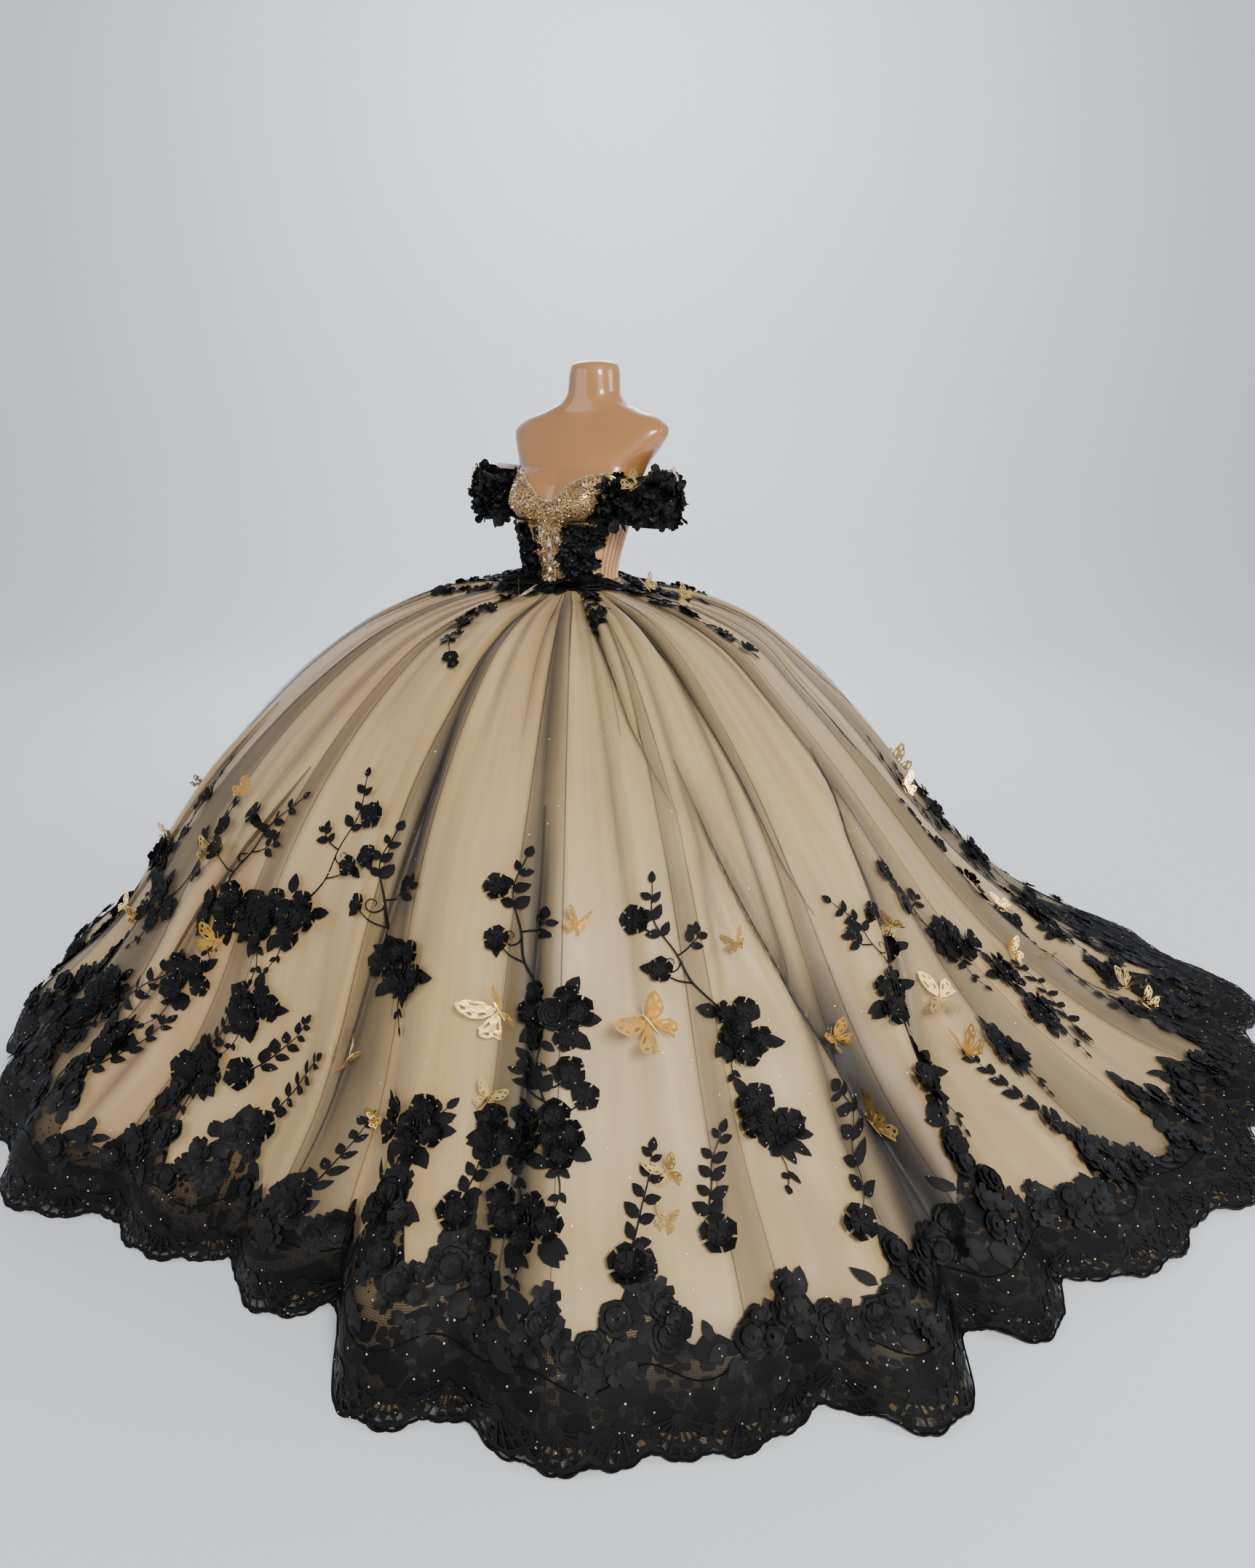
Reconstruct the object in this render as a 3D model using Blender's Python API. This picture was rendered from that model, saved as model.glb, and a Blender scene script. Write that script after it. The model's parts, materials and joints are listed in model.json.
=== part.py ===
"""Quinceanera ball gown standing on a limbless dress form.

Metres, +Z up.  The gown faces -Y and the wearer's left is +X.  The origin is the middle of the
form's base, on the floor.  A bearing is a plan angle in degrees: 0 at the front, 90 at the
wearer's left, 180 at the back.
"""

import math

import bmesh
import bpy
import numpy as np
from mathutils import Vector

MM = 0.001
SEAM_GAP = 0.3 * MM
SATIN_WALL = 2.0 * MM
LACE_WALL = 1.6 * MM
BODICE_WALL = 2.0 * MM
BODICE_CLEARANCE = 2.0 * MM
WAIST_CLEARANCE = 0.7 * MM

# Dress form
WAIST_HEIGHT = 1.06
FORM_COLUMNS = 40
FORM_ROUNDNESS = 2.2
SHOULDER_CUT = 0.198
POLE_RADIUS = 0.016
BASE_RADIUS = 0.19
BASE_THICKNESS = 0.010
FORM_SECTIONS = [
    # height, half_width, half_depth, backward, sideways
    (0.860, 0.140, 0.098, -0.004, 0.000),
    (0.885, 0.160, 0.112, -0.004, 0.000),
    (0.940, 0.163, 0.116, -0.002, 0.000),
    (1.000, 0.137, 0.100, 0.000, 0.000),
    (1.035, 0.116, 0.088, 0.000, 0.000),
    (1.060, 0.108, 0.083, 0.000, 0.000),
    (1.090, 0.110, 0.084, 0.002, 0.000),
    (1.130, 0.118, 0.089, 0.006, 0.001),
    (1.170, 0.128, 0.096, 0.010, 0.002),
    (1.220, 0.138, 0.104, 0.016, 0.004),
    (1.265, 0.148, 0.100, 0.026, 0.007),
    (1.305, 0.165, 0.090, 0.038, 0.011),
    (1.345, 0.190, 0.077, 0.050, 0.015),
    (1.378, 0.203, 0.064, 0.058, 0.018),
    (1.402, 0.178, 0.055, 0.064, 0.019),
    (1.422, 0.120, 0.050, 0.068, 0.020),
    (1.440, 0.078, 0.050, 0.072, 0.020),
    (1.462, 0.061, 0.052, 0.075, 0.020),
    (1.500, 0.057, 0.053, 0.079, 0.020),
    (1.518, 0.052, 0.049, 0.081, 0.020),
    (1.526, 0.036, 0.035, 0.082, 0.020),
]

# Bodice
SEAM_HEIGHT = 1.052
SEAM_DIP = 0.014
SEAM_DIP_SPREAD = 30.0
CUP_SEAM_HEIGHT = 1.183
CUP_BULGE = 0.036
CUP_BEARING = 27.0
CUP_SPREAD = 21.0
BODICE_EDGE = [
    # bearing, height of the top edge on either side
    (0.0, 1.232),
    (5.0, 1.236),
    (14.0, 1.262),
    (30.0, 1.288),
    (48.0, 1.292),
    (64.0, 1.282),
    (90.0, 1.252),
    (130.0, 1.240),
    (180.0, 1.236),
]
CENTRE_HALF = 21.0
CUP_SIDE = 52.0
SIDE_FRONT_END = 66.0
SIDE_END = 104.0
BACK_PLEATS = 6
BACK_PLEAT_DEPTH = 2.6 * MM
LOWER_ROWS = 4
UPPER_ROWS = 5

# Off-the-shoulder sleeves
SLEEVE_WALL = 3.0 * MM
SLEEVE_CENTRE_X = 0.152
SLEEVE_CENTRE_Y = 0.020
SLEEVE_REACH_X = 0.090
SLEEVE_REACH_Y = 0.090
SLEEVE_FRONT = 56.0
SLEEVE_BACK = SIDE_END + (180 - SIDE_END) * 5 / (2 * BACK_PLEATS)
SLEEVE_SEAT = 0.6 * MM
SLEEVE_COLUMNS = 26
SLEEVE_ROWS = 6
SLEEVE_TURN = 104.0
SLEEVE_MIDDLE_HEIGHT = 1.232
SLEEVE_HALF_HEIGHT = 0.060
SLEEVE_END_HALF_HEIGHT = 0.036
SLEEVE_PUFF = 0.016
SLEEVE_RELIEF = 9.0 * MM

# Skirt
SKIRT_SECTIONS = [
    # height, radius, train_height, train_radius, fold_share, outline_share
    (1.050, 0.110, 1.050, 0.110, 0.00, 0.00),
    (1.040, 0.175, 1.036, 0.175, 0.00, 0.00),
    (1.017, 0.300, 1.006, 0.300, 0.02, 0.00),
    (0.962, 0.450, 0.944, 0.440, 0.05, 0.05),
    (0.867, 0.598, 0.835, 0.550, 0.10, 0.12),
    (0.752, 0.732, 0.710, 0.670, 0.18, 0.22),
    (0.626, 0.850, 0.577, 0.785, 0.28, 0.36),
    (0.494, 0.950, 0.440, 0.905, 0.40, 0.52),
    (0.366, 1.040, 0.304, 1.045, 0.53, 0.68),
    (0.254, 1.140, 0.180, 1.215, 0.68, 0.82),
    (0.156, 1.270, 0.082, 1.400, 0.83, 0.92),
    (0.066, 1.362, 0.034, 1.575, 0.94, 0.98),
    (0.014, 1.385, 0.014, 1.725, 1.00, 1.00),
]
LAST_ROW = len(SKIRT_SECTIONS) - 1
HEM_RADIUS = 1.385
TRAIN_RADIUS = 1.725
HEM_OUTLINE = [
    # bearing, reach of the ridges at the hem
    (-160.0, 1.39),
    (-125.0, 1.37),
    (-90.0, 1.37),
    (-55.0, 1.375),
    (-23.0, 1.375),
    (-10.0, 1.27),
    (1.0, 1.21),
    (7.0, 1.22),
    (13.0, 1.235),
    (18.5, 1.345),
    (24.0, 1.36),
    (31.0, 1.395),
    (38.0, 1.41),
    (46.0, 1.395),
    (54.5, 1.465),
    (66.0, 1.435),
    (75.0, 1.465),
    (83.0, 1.555),
    (91.0, 1.61),
    (99.0, 1.67),
    (114.0, 1.725),
    (122.0, 1.67),
    (131.0, 1.55),
    (143.0, 1.40),
    (162.0, 1.385),
]
FOLDS = [
    # bearing of the trough, depth at the hem, share of the skirt where it starts
    (-172.0, 0.080, 0.10),
    (-158.0, 0.065, 0.05),
    (-144.0, 0.090, 0.12),
    (-131.0, 0.060, 0.05),
    (-117.0, 0.085, 0.10),
    (-104.0, 0.060, 0.08),
    (-90.0, 0.080, 0.05),
    (-77.0, 0.060, 0.10),
    (-64.0, 0.080, 0.08),
    (-51.0, 0.060, 0.05),
    (-38.0, 0.070, 0.10),
    (-25.0, 0.055, 0.05),
    (-11.0, 0.055, 0.05),
    (2.0, 0.055, 0.08),
    (14.0, 0.080, 0.05),
    (26.0, 0.050, 0.02),
    (38.0, 0.025, 0.02),
    (50.0, 0.060, 0.12),
    (61.0, 0.110, 0.10),
    (70.5, 0.070, 0.05),
    (83.0, 0.060, 0.08),
    (96.0, 0.080, 0.05),
    (109.0, 0.080, 0.08),
    (123.0, 0.060, 0.05),
    (138.0, 0.080, 0.08),
    (155.0, 0.080, 0.05),
    (171.0, 0.070, 0.08),
]
FOLD_SPREAD = 0.27
FOLD_COLUMNS = (0.0, 0.22, 0.50, 0.78)
GATHER_DEPTH = 5.0 * MM
GATHER_LENGTH = 3.2
SKIRT_CLEARANCE = 1.5 * MM
SEAM_DROP = 1.5 * MM
BACK_DROP = 0.020
BACK_DROP_SIDE = 140.0
FULLER_SIDE = -58.0
FULLER_SHARE = 0.008
GORES = 9

# Lace on the skirt
HEM_LACE_ROWS = 4
SCALLOP_REACH = 0.018
HEM_OVERLAP = 1.2 * MM
HEM_RELIEF = 5.0 * MM
WAIST_LACE_ROWS = 4
WAIST_LACE_START = 0.12
SPRAY_ROWS = 3
WAIST_RELIEF = 6.0 * MM
WAIST_SPRAYS = [
    # bearing of a spray that reaches down the skirt
    -150.0, -95.0, -38.0, 44.0, 92.0, 150.0,
]

# Roses and butterflies sewn on the skirt
ROSE_RADIUS = 0.046
ROSE_HEIGHT = 0.024
ROSE_FOOT = 0.009
ROSES = [
    # bearing, row
    (-165.0, 7.2), (-123.0, 7.4), (-71.0, 7.2), (-30.5, 7.4), (-16.5, 6.8), (-5.0, 6.6),
    (18.5, 7.0), (32.0, 7.2), (46.0, 7.5), (67.5, 7.6), (88.5, 7.6), (129.0, 7.4), (162.0, 7.3),
]
BUTTERFLY_SPAN = 0.078
BUTTERFLY_WALL = 1.5 * MM
BUTTERFLY_LIFT = 26.0
BUTTERFLIES = [
    # bearing, row, turn
    (-151.0, 7.6, 20.0), (-100.0, 6.6, -25.0), (-42.0, 7.5, -35.0), (-21.0, 5.6, 10.0),
    (9.5, 7.7, -15.0), (25.0, 7.3, 20.0), (41.0, 7.35, 40.0), (56.5, 7.7, -20.0),
    (76.0, 7.6, 65.0), (111.5, 7.4, 30.0), (145.0, 7.5, -30.0),
]
WING_OUTLINE = [
    # across, along, as shares of the half span, from the head round to the tail
    (0.00, 0.20), (0.42, 0.66), (0.95, 0.62), (0.86, 0.12), (0.46, -0.04),
    (0.74, -0.28), (0.50, -0.70), (0.00, -0.28),
]


def smooth_curve(xs, ys, x):
    """Cubic through the table's points, flat at turning points so that it never overshoots."""
    xs = np.asarray(xs, float)
    ys = np.asarray(ys, float)
    x = np.clip(np.asarray(x, float), xs[0], xs[-1])
    slope = np.diff(ys) / np.diff(xs)
    tangent = np.empty_like(ys)
    tangent[0], tangent[-1] = slope[0], slope[-1]
    product = slope[:-1] * slope[1:]
    total = slope[:-1] + slope[1:]
    tangent[1:-1] = np.where(product > 0, 2 * product / np.where(total == 0, 1, total), 0)
    k = np.clip(np.searchsorted(xs, x, side="right") - 1, 0, len(xs) - 2)
    width = xs[k + 1] - xs[k]
    t = (x - xs[k]) / width
    a = (1 + 2 * t) * (1 - t) ** 2
    b = t * (1 - t) ** 2
    c = t * t * (3 - 2 * t)
    d = t * t * (t - 1)
    return a * ys[k] + b * width * tangent[k] + c * ys[k + 1] + d * width * tangent[k + 1]


def round_curve(table, bearing):
    """A smooth curve through (bearing, value) rows that closes on itself after 360 degrees."""
    rows = np.array(table, float)
    xs = np.concatenate([rows[-3:, 0] - 360, rows[:, 0], rows[:3, 0] + 360])
    ys = np.concatenate([rows[-3:, 1], rows[:, 1], rows[:3, 1]])
    start = rows[0, 0]
    wrapped = (np.asarray(bearing, float) - start) % 360 + start
    return smooth_curve(xs, ys, wrapped)


def column(table, index):
    return np.array([row[index] for row in table], float)


def turned(bearing):
    """Unit plan direction of a bearing."""
    angle = np.radians(bearing)
    return np.sin(angle), -np.cos(angle)


# The dress form's surface


def form_point(bearing, height):
    """A point on the form; the bearing is measured round the section's own oval."""
    heights = column(FORM_SECTIONS, 0)
    half_width, half_depth, backward, sideways = (
        np.interp(height, heights, column(FORM_SECTIONS, k)) for k in (1, 2, 3, 4)
    )
    across, along = turned(bearing)
    power = 2 / FORM_ROUNDNESS
    x = half_width * np.sign(across) * np.abs(across) ** power
    y = half_depth * np.sign(along) * np.abs(along) ** power
    x = np.clip(x, -SHOULDER_CUT, SHOULDER_CUT)
    return np.stack([x + sideways, y + backward, height + 0 * x], axis=-1)


# The bodice's surface, which lies just outside the form


def seam_height(bearing):
    return SEAM_HEIGHT - SEAM_DIP * np.exp(-((bearing / SEAM_DIP_SPREAD) ** 2))


def edge_height(bearing):
    return smooth_curve(column(BODICE_EDGE, 0), column(BODICE_EDGE, 1), np.abs(bearing))


def bodice_point(bearing, height, out):
    """A point at a distance out from the bodice's inner face."""
    point = form_point(bearing, height)
    side = np.stack([*turned(bearing), 0 * bearing], axis=-1)
    near_waist = np.exp(-(((height - WAIST_HEIGHT) / 0.02) ** 2))
    clear = BODICE_CLEARANCE + (WAIST_CLEARANCE - BODICE_CLEARANCE) * near_waist
    window = np.clip((height - CUP_SEAM_HEIGHT) / (1.30 - CUP_SEAM_HEIGHT), 0, 1)
    window = np.sin(math.pi * window ** 0.8) ** 0.8
    away = (np.abs(bearing) - CUP_BEARING) / CUP_SPREAD
    bulge = CUP_BULGE * window * np.exp(-(away ** 2))
    return point + side * (clear + bulge + out)[..., None]


# The skirt's surface


def fold_bearings():
    return column(FOLDS, 0)


def skirt_columns():
    """The bearings of the skirt's columns, a few in each fold and closest at its troughs."""
    troughs = fold_bearings()
    following = np.append(troughs[1:], troughs[0] + 360)
    return np.array(
        [a + share * (b - a) for a, b in zip(troughs, following) for share in FOLD_COLUMNS]
    )


def column_number(bearing):
    """A bearing as a running column number, which the gathers follow."""
    bearings = skirt_columns()
    wrapped = (bearing - bearings[0]) % 360 + bearings[0]
    return np.interp(wrapped, np.append(bearings, bearings[0] + 360), np.arange(len(bearings) + 1))


def waist_reach(bearing, height):
    """How far from the middle the skirt starts, just outside the form's oval."""
    across, along = turned(bearing)
    heights = column(FORM_SECTIONS, 0)
    half_width = np.interp(height, heights, column(FORM_SECTIONS, 1)) + SKIRT_CLEARANCE
    half_depth = np.interp(height, heights, column(FORM_SECTIONS, 2)) + SKIRT_CLEARANCE
    n = FORM_ROUNDNESS
    return (np.abs(across / half_width) ** n + np.abs(along / half_depth) ** n) ** (-1 / n)


def skirt_point(bearing, row):
    """A point in the middle of the satin, at a bearing and a row that may be a fraction."""
    bearing, row = np.broadcast_arrays(np.asarray(bearing, float), np.asarray(row, float))
    numbers = np.arange(LAST_ROW + 1)
    height, radius, train_height, train_radius, fold_share, outline_share = (
        smooth_curve(numbers, column(SKIRT_SECTIONS, k), row) for k in range(6)
    )
    hem = round_curve(HEM_OUTLINE, bearing)
    train = np.clip((hem - HEM_RADIUS) / (TRAIN_RADIUS - HEM_RADIUS), 0, 1)
    reach = radius + (train_radius - radius) * train
    z = height + (train_height - height) * train
    reach = reach * (1 + outline_share * (np.minimum(hem, HEM_RADIUS) / HEM_RADIUS - 1))
    fuller = FULLER_SHARE * np.cos(np.radians(bearing - FULLER_SIDE))
    reach = reach * (1 + fuller * np.sin(math.pi * np.clip(row / LAST_ROW, 0, 1)) ** 2)
    troughs = fold_bearings()
    gap = np.diff(np.append(troughs, troughs[0] + 360))
    spread = FOLD_SPREAD * (gap + np.roll(gap, 1)) / 2
    for trough, depth, start, width in zip(
        troughs, column(FOLDS, 1), column(FOLDS, 2), spread
    ):
        away = (bearing - trough + 180) % 360 - 180
        grown = np.clip((fold_share - start) / (1 - start), 0, 1) ** 1.15
        reach = reach - depth * grown * np.exp(-((away / width) ** 2))
    across, along = turned(bearing)
    near_seam = np.clip(1 - row / 2, 0, 1)
    seam = seam_height((bearing + 180) % 360 - 180)
    dip_share = np.clip(1.5 - row / 2, 0, 1)
    reach = reach + (waist_reach(bearing, seam) - SKIRT_SECTIONS[0][1]) * near_seam ** 2
    gather = np.clip(1 - (row - 1) / GATHER_LENGTH, 0, 1) * np.clip(row - 1, 0, 1)
    z = z + GATHER_DEPTH * gather * np.cos(math.pi * column_number(bearing))
    z = z + (seam - SEAM_DROP - SKIRT_SECTIONS[0][0]) * dip_share
    drop = BACK_DROP * (0.5 + 0.5 * np.cos(np.radians(bearing - BACK_DROP_SIDE)))
    z = z - drop * np.clip(row, 0, 1) * np.clip((9 - row) / 5, 0, 1)
    return np.stack([across * reach, along * reach, z], axis=-1)


def skirt_normal(bearing, row):
    """The skirt's outward direction, from its slopes round and down."""
    step = 0.4
    round_it = skirt_point(bearing + step, row) - skirt_point(bearing - step, row)
    low, high = np.clip(row - 0.15, 0, LAST_ROW), np.clip(row + 0.15, 0, LAST_ROW)
    down = skirt_point(bearing, high) - skirt_point(bearing, low)
    normal = np.cross(down, round_it)
    return normal / np.linalg.norm(normal, axis=-1, keepdims=True)


def skirt_layer(bearing, row, out):
    """A point of the skirt moved out along its normal, and never below the floor."""
    bearing, row = np.broadcast_arrays(np.asarray(bearing, float), np.asarray(row, float))
    point = skirt_point(bearing, row) + skirt_normal(bearing, row) * np.asarray(out)[..., None]
    point[..., 2] = np.maximum(point[..., 2], 0)
    return point


def relief(bearing, row):
    """Uneven petals, from 0 to 1, in a pattern that is the same every time."""
    turn = column_number(bearing) * 2 * math.pi / len(skirt_columns())
    wave = np.sin(41 * turn + 1.7 * row) + np.sin(22 * turn - 2.9 * row)
    return 0.5 + 0.25 * wave


# Turning points into closed solids


def material(name, colour, roughness, metallic=0.0):
    made = bpy.data.materials.new(name)
    made.use_nodes = True
    shader = made.node_tree.nodes["Principled BSDF"]
    shader.inputs["Base Color"].default_value = (*colour, 1)
    shader.inputs["Roughness"].default_value = roughness
    shader.inputs["Metallic"].default_value = metallic
    return made


def solid(name, points, faces, finish, parent):
    """A closed mesh object with its faces pointing out."""
    mesh = bpy.data.meshes.new(name)
    mesh.from_pydata([tuple(p) for p in points], [], faces)
    mesh.update()
    work = bmesh.new()
    work.from_mesh(mesh)
    bmesh.ops.triangulate(work, faces=[f for f in work.faces if len(f.verts) > 4])
    bmesh.ops.recalc_face_normals(work, faces=work.faces)
    work.to_mesh(mesh)
    work.free()
    made = bpy.data.objects.new(name, mesh)
    mesh.materials.append(finish)
    made.parent = parent
    bpy.context.scene.collection.objects.link(made)
    return made


def sheet_faces(outer, cells):
    """Faces of a wall over triangles of point numbers, closed along the sheet's edges.

    The narrow faces along an edge are split from the lower end outside, whichever sheet it is,
    so that two sheets that meet there never cross.
    """
    count = len(outer)
    faces = []
    edges = {}
    for cell in cells:
        faces.append(list(cell))
        faces.append([count + k for k in reversed(cell)])
        for a, b in zip(cell, (*cell[1:], cell[0])):
            if (b, a) in edges:
                del edges[(b, a)]
            else:
                edges[(a, b)] = True
    for a, b in edges:
        if outer[b][2] < outer[a][2]:
            faces += [[b, a, count + a], [b, count + a, count + b]]
        else:
            faces += [[b, a, count + b], [a, count + a, count + b]]
    return faces


def wall(name, outer, inner, cells, finish, parent):
    """A cloth wall between two sets of points that share their numbering."""
    used = sorted({k for cell in cells for k in cell})
    place = {k: n for n, k in enumerate(used)}
    cells = [tuple(place[k] for k in cell) for cell in cells]
    outer = [outer[k] for k in used]
    points = outer + [inner[k] for k in used]
    return solid(name, points, sheet_faces(outer, cells), finish, parent)


def grid_cells(columns, rows, first=None, last=None):
    """Triangles of a grid numbered column * rows + row, kept to some rows of each column.

    The quads are split one way and the other in turn, so a trimmed edge can rise and fall.
    """

    def kept(corners):
        return all(
            (first is None or r >= first[c]) and (last is None or r <= last[c]) for c, r in corners
        )

    cells = []
    for c in range(columns - 1):
        for r in range(rows - 1):
            a, b, d, e = (c, r), (c + 1, r), (c + 1, r + 1), (c, r + 1)
            halves = [(a, b, d), (a, d, e)] if c % 2 == 0 else [(a, b, e), (b, d, e)]
            cells += [tuple(x * rows + y for x, y in half) for half in halves if kept(half)]
    return cells


def shifted_ends(points, columns, rows):
    """Pulls the two end columns of a grid half a seam gap inwards, along the rows."""
    grid = points.reshape(columns, rows, 3).copy()
    for end, beside in ((0, 1), (columns - 1, columns - 2)):
        way = grid[beside] - grid[end]
        grid[end] += way / np.linalg.norm(way, axis=-1, keepdims=True) * SEAM_GAP / 2
    return grid.reshape(-1, 3)


# The pieces


def make_form(parent, shell, metal):
    """The torso with its neck and flat shoulder ends, its pole and its round base."""
    bearings = np.arange(FORM_COLUMNS) * 360 / FORM_COLUMNS
    heights = column(FORM_SECTIONS, 0)
    rings = [form_point(bearings, np.full(FORM_COLUMNS, h)) for h in heights]
    points = np.concatenate(rings)
    faces = []
    for r in range(len(heights) - 1):
        for c in range(FORM_COLUMNS):
            after = (c + 1) % FORM_COLUMNS
            low, high = r * FORM_COLUMNS, (r + 1) * FORM_COLUMNS
            faces.append([low + c, low + after, high + after, high + c])
    faces.append(list(reversed(range(FORM_COLUMNS))))
    top = (len(heights) - 1) * FORM_COLUMNS
    faces.append([top + c for c in range(FORM_COLUMNS)])
    solid("form_torso", points, faces, shell, parent)
    make_round("form_pole", POLE_RADIUS, BASE_THICKNESS + SEAM_GAP, heights[0] - SEAM_GAP, 16, metal, parent)
    base = make_round("form_base", BASE_RADIUS, 0, BASE_THICKNESS, 36, metal, parent)
    bevel = base.modifiers.new("rounded rim", "BEVEL")
    bevel.width = 0.004
    bevel.segments = 1
    bevel.limit_method = "ANGLE"


def make_round(name, radius, low, high, sides, finish, parent):
    """A round bar or disc standing on its end."""
    angles = np.arange(sides) * 2 * math.pi / sides
    ring = np.stack([radius * np.cos(angles), radius * np.sin(angles)], axis=-1)
    points = [(x, y, low) for x, y in ring] + [(x, y, high) for x, y in ring]
    faces = [list(reversed(range(sides))), list(range(sides, 2 * sides))]
    for k in range(sides):
        after = (k + 1) % sides
        faces.append([k, after, sides + after, sides + k])
    return solid(name, points, faces, finish, parent)


def bodice_heights(bearings, lower, upper):
    """Row heights of some columns, for the part below the cups' seam, above it, or both."""
    waist = form_point(bearings, np.full(len(bearings), SEAM_HEIGHT))
    bottom = seam_height(np.degrees(np.arctan2(waist[:, 0], -waist[:, 1])))
    top = edge_height(bearings)
    low_share = np.linspace(0, 1, LOWER_ROWS)
    high_share = np.linspace(0, 1, UPPER_ROWS)
    low = bottom[:, None] + (CUP_SEAM_HEIGHT - bottom)[:, None] * low_share
    high = CUP_SEAM_HEIGHT + (top - CUP_SEAM_HEIGHT)[:, None] * high_share
    if lower and upper:
        return np.concatenate([low, high[:, 1:]], axis=1)
    if lower:
        low[:, -1] -= SEAM_GAP / 2
        return low
    high[:, 0] += SEAM_GAP / 2
    return high


def bodice_panel(name, bearings, finish, parent, lower=True, upper=True, pleat=0):
    """A panel of the bodice, its odd columns raised by the depth of its pleats."""
    heights = bodice_heights(bearings, lower, upper)
    columns, rows = heights.shape
    around = np.repeat(bearings, rows)
    height = heights.reshape(-1)
    raised = np.where(np.arange(columns) % 2, pleat, 0)
    out = np.repeat(raised, rows) + BODICE_WALL
    inner = shifted_ends(bodice_point(around, height, 0 * around), columns, rows)
    outer = shifted_ends(bodice_point(around, height, out), columns, rows)
    wall(name, outer, inner, grid_cells(columns, rows), finish, parent)


def make_bodice(parent, gold, black, nude, blush):
    """Sweetheart cups, a beaded centre, lace side fronts, nude sides and pleated backs."""
    centre = np.linspace(-CENTRE_HALF, CENTRE_HALF, 9)
    bodice_panel("bodice_centre", centre, gold, parent, upper=False)
    for side, word in ((1, "left"), (-1, "right")):
        cup = side * np.linspace(0, CUP_SIDE, 13)
        front = side * np.linspace(CENTRE_HALF, CUP_SIDE, 6)
        wing = side * np.linspace(CUP_SIDE, SIDE_FRONT_END, 4)
        flank = side * np.linspace(SIDE_FRONT_END, SIDE_END, 6)
        back = side * np.linspace(SIDE_END, 180, 2 * BACK_PLEATS + 1)
        bodice_panel(f"bodice_cup_{word}", cup, gold, parent, lower=False)
        bodice_panel(f"bodice_side_front_{word}", front, black, parent, upper=False)
        bodice_panel(f"bodice_wing_{word}", wing, black, parent)
        bodice_panel(f"bodice_side_{word}", flank, nude, parent)
        bodice_panel(f"bodice_back_{word}", back, blush, parent, pleat=BACK_PLEAT_DEPTH)


def sleeve_point(turn, share, out, side):
    """A point of a sleeve: turn runs from the front end round the outside to the back end."""
    along = turn / SLEEVE_TURN
    open_share = np.cos(along * math.pi / 2)
    half = SLEEVE_END_HALF_HEIGHT + (SLEEVE_HALF_HEIGHT - SLEEVE_END_HALF_HEIGHT) * open_share
    z = SLEEVE_MIDDLE_HEIGHT + half * (2 * share - 1)
    puff = SLEEVE_PUFF * open_share * np.sqrt(np.clip(1 - (2 * share - 1) ** 2, 0, 1))
    angle = np.radians(turn)
    x = SLEEVE_CENTRE_X + (SLEEVE_REACH_X + puff + out) * np.cos(angle)
    y = SLEEVE_CENTRE_Y + (SLEEVE_REACH_Y + puff + out) * np.sin(angle)
    point = np.stack([side * x, y, z], axis=-1)
    for end, bearing, raised in ((-1, SLEEVE_FRONT, 0.0), (1, SLEEVE_BACK, BACK_PLEAT_DEPTH)):
        last = np.radians(end * SLEEVE_TURN)
        free_x = side * (SLEEVE_CENTRE_X + SLEEVE_REACH_X * np.cos(last)) + 0 * z
        free_y = SLEEVE_CENTRE_Y + SLEEVE_REACH_Y * np.sin(last) + 0 * z
        seat = BODICE_WALL + raised + SLEEVE_SEAT
        held_end = bodice_point(side * bearing + 0 * z, z, seat + 0 * z)
        near = ((1 + end * along) / 2) ** 5
        point = point + (held_end - np.stack([free_x, free_y, z], axis=-1)) * near[..., None]
    return point


def make_sleeves(parent, finish):
    """Gathered bands off the shoulder, each from the bodice's front corner round to its back."""
    turns = np.linspace(-SLEEVE_TURN, SLEEVE_TURN, SLEEVE_COLUMNS)
    shares = np.linspace(0, 1, SLEEVE_ROWS)
    turn, share = (grid.reshape(-1) for grid in np.meshgrid(turns, shares, indexing="ij"))
    number = np.repeat(np.arange(SLEEVE_COLUMNS), SLEEVE_ROWS)
    petals = 0.5 + 0.25 * (np.sin(2.6 * number + 9 * share) + np.sin(1.9 * number - 14 * share))
    for side, word in ((1, "left"), (-1, "right")):
        inner = sleeve_point(turn, share, 0, side)
        outer = sleeve_point(turn, share, SLEEVE_WALL + SLEEVE_RELIEF * petals, side)
        cells = grid_cells(SLEEVE_COLUMNS, SLEEVE_ROWS)
        wall(f"sleeve_{word}", outer, inner, cells, finish, parent)


def gore_columns(gore):
    """The column numbers of a gore, its last being the next gore's first."""
    share = len(skirt_columns()) // GORES
    return list(range(gore * share, (gore + 1) * share + 1))


def skirt_grid(numbers, first_row, last_row, out):
    """Points of some columns and rows of the skirt, moved out, with the seam gap at its ends."""
    bearings = skirt_columns()
    around = np.array([bearings[n % len(bearings)] + 360 * (n // len(bearings)) for n in numbers])
    rows = np.arange(first_row, last_row + 1)
    bearing, row = (g.reshape(-1) for g in np.meshgrid(around, rows, indexing="ij"))
    points = skirt_layer(bearing, row, out(bearing, row))
    return shifted_ends(points, len(numbers), len(rows))


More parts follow.
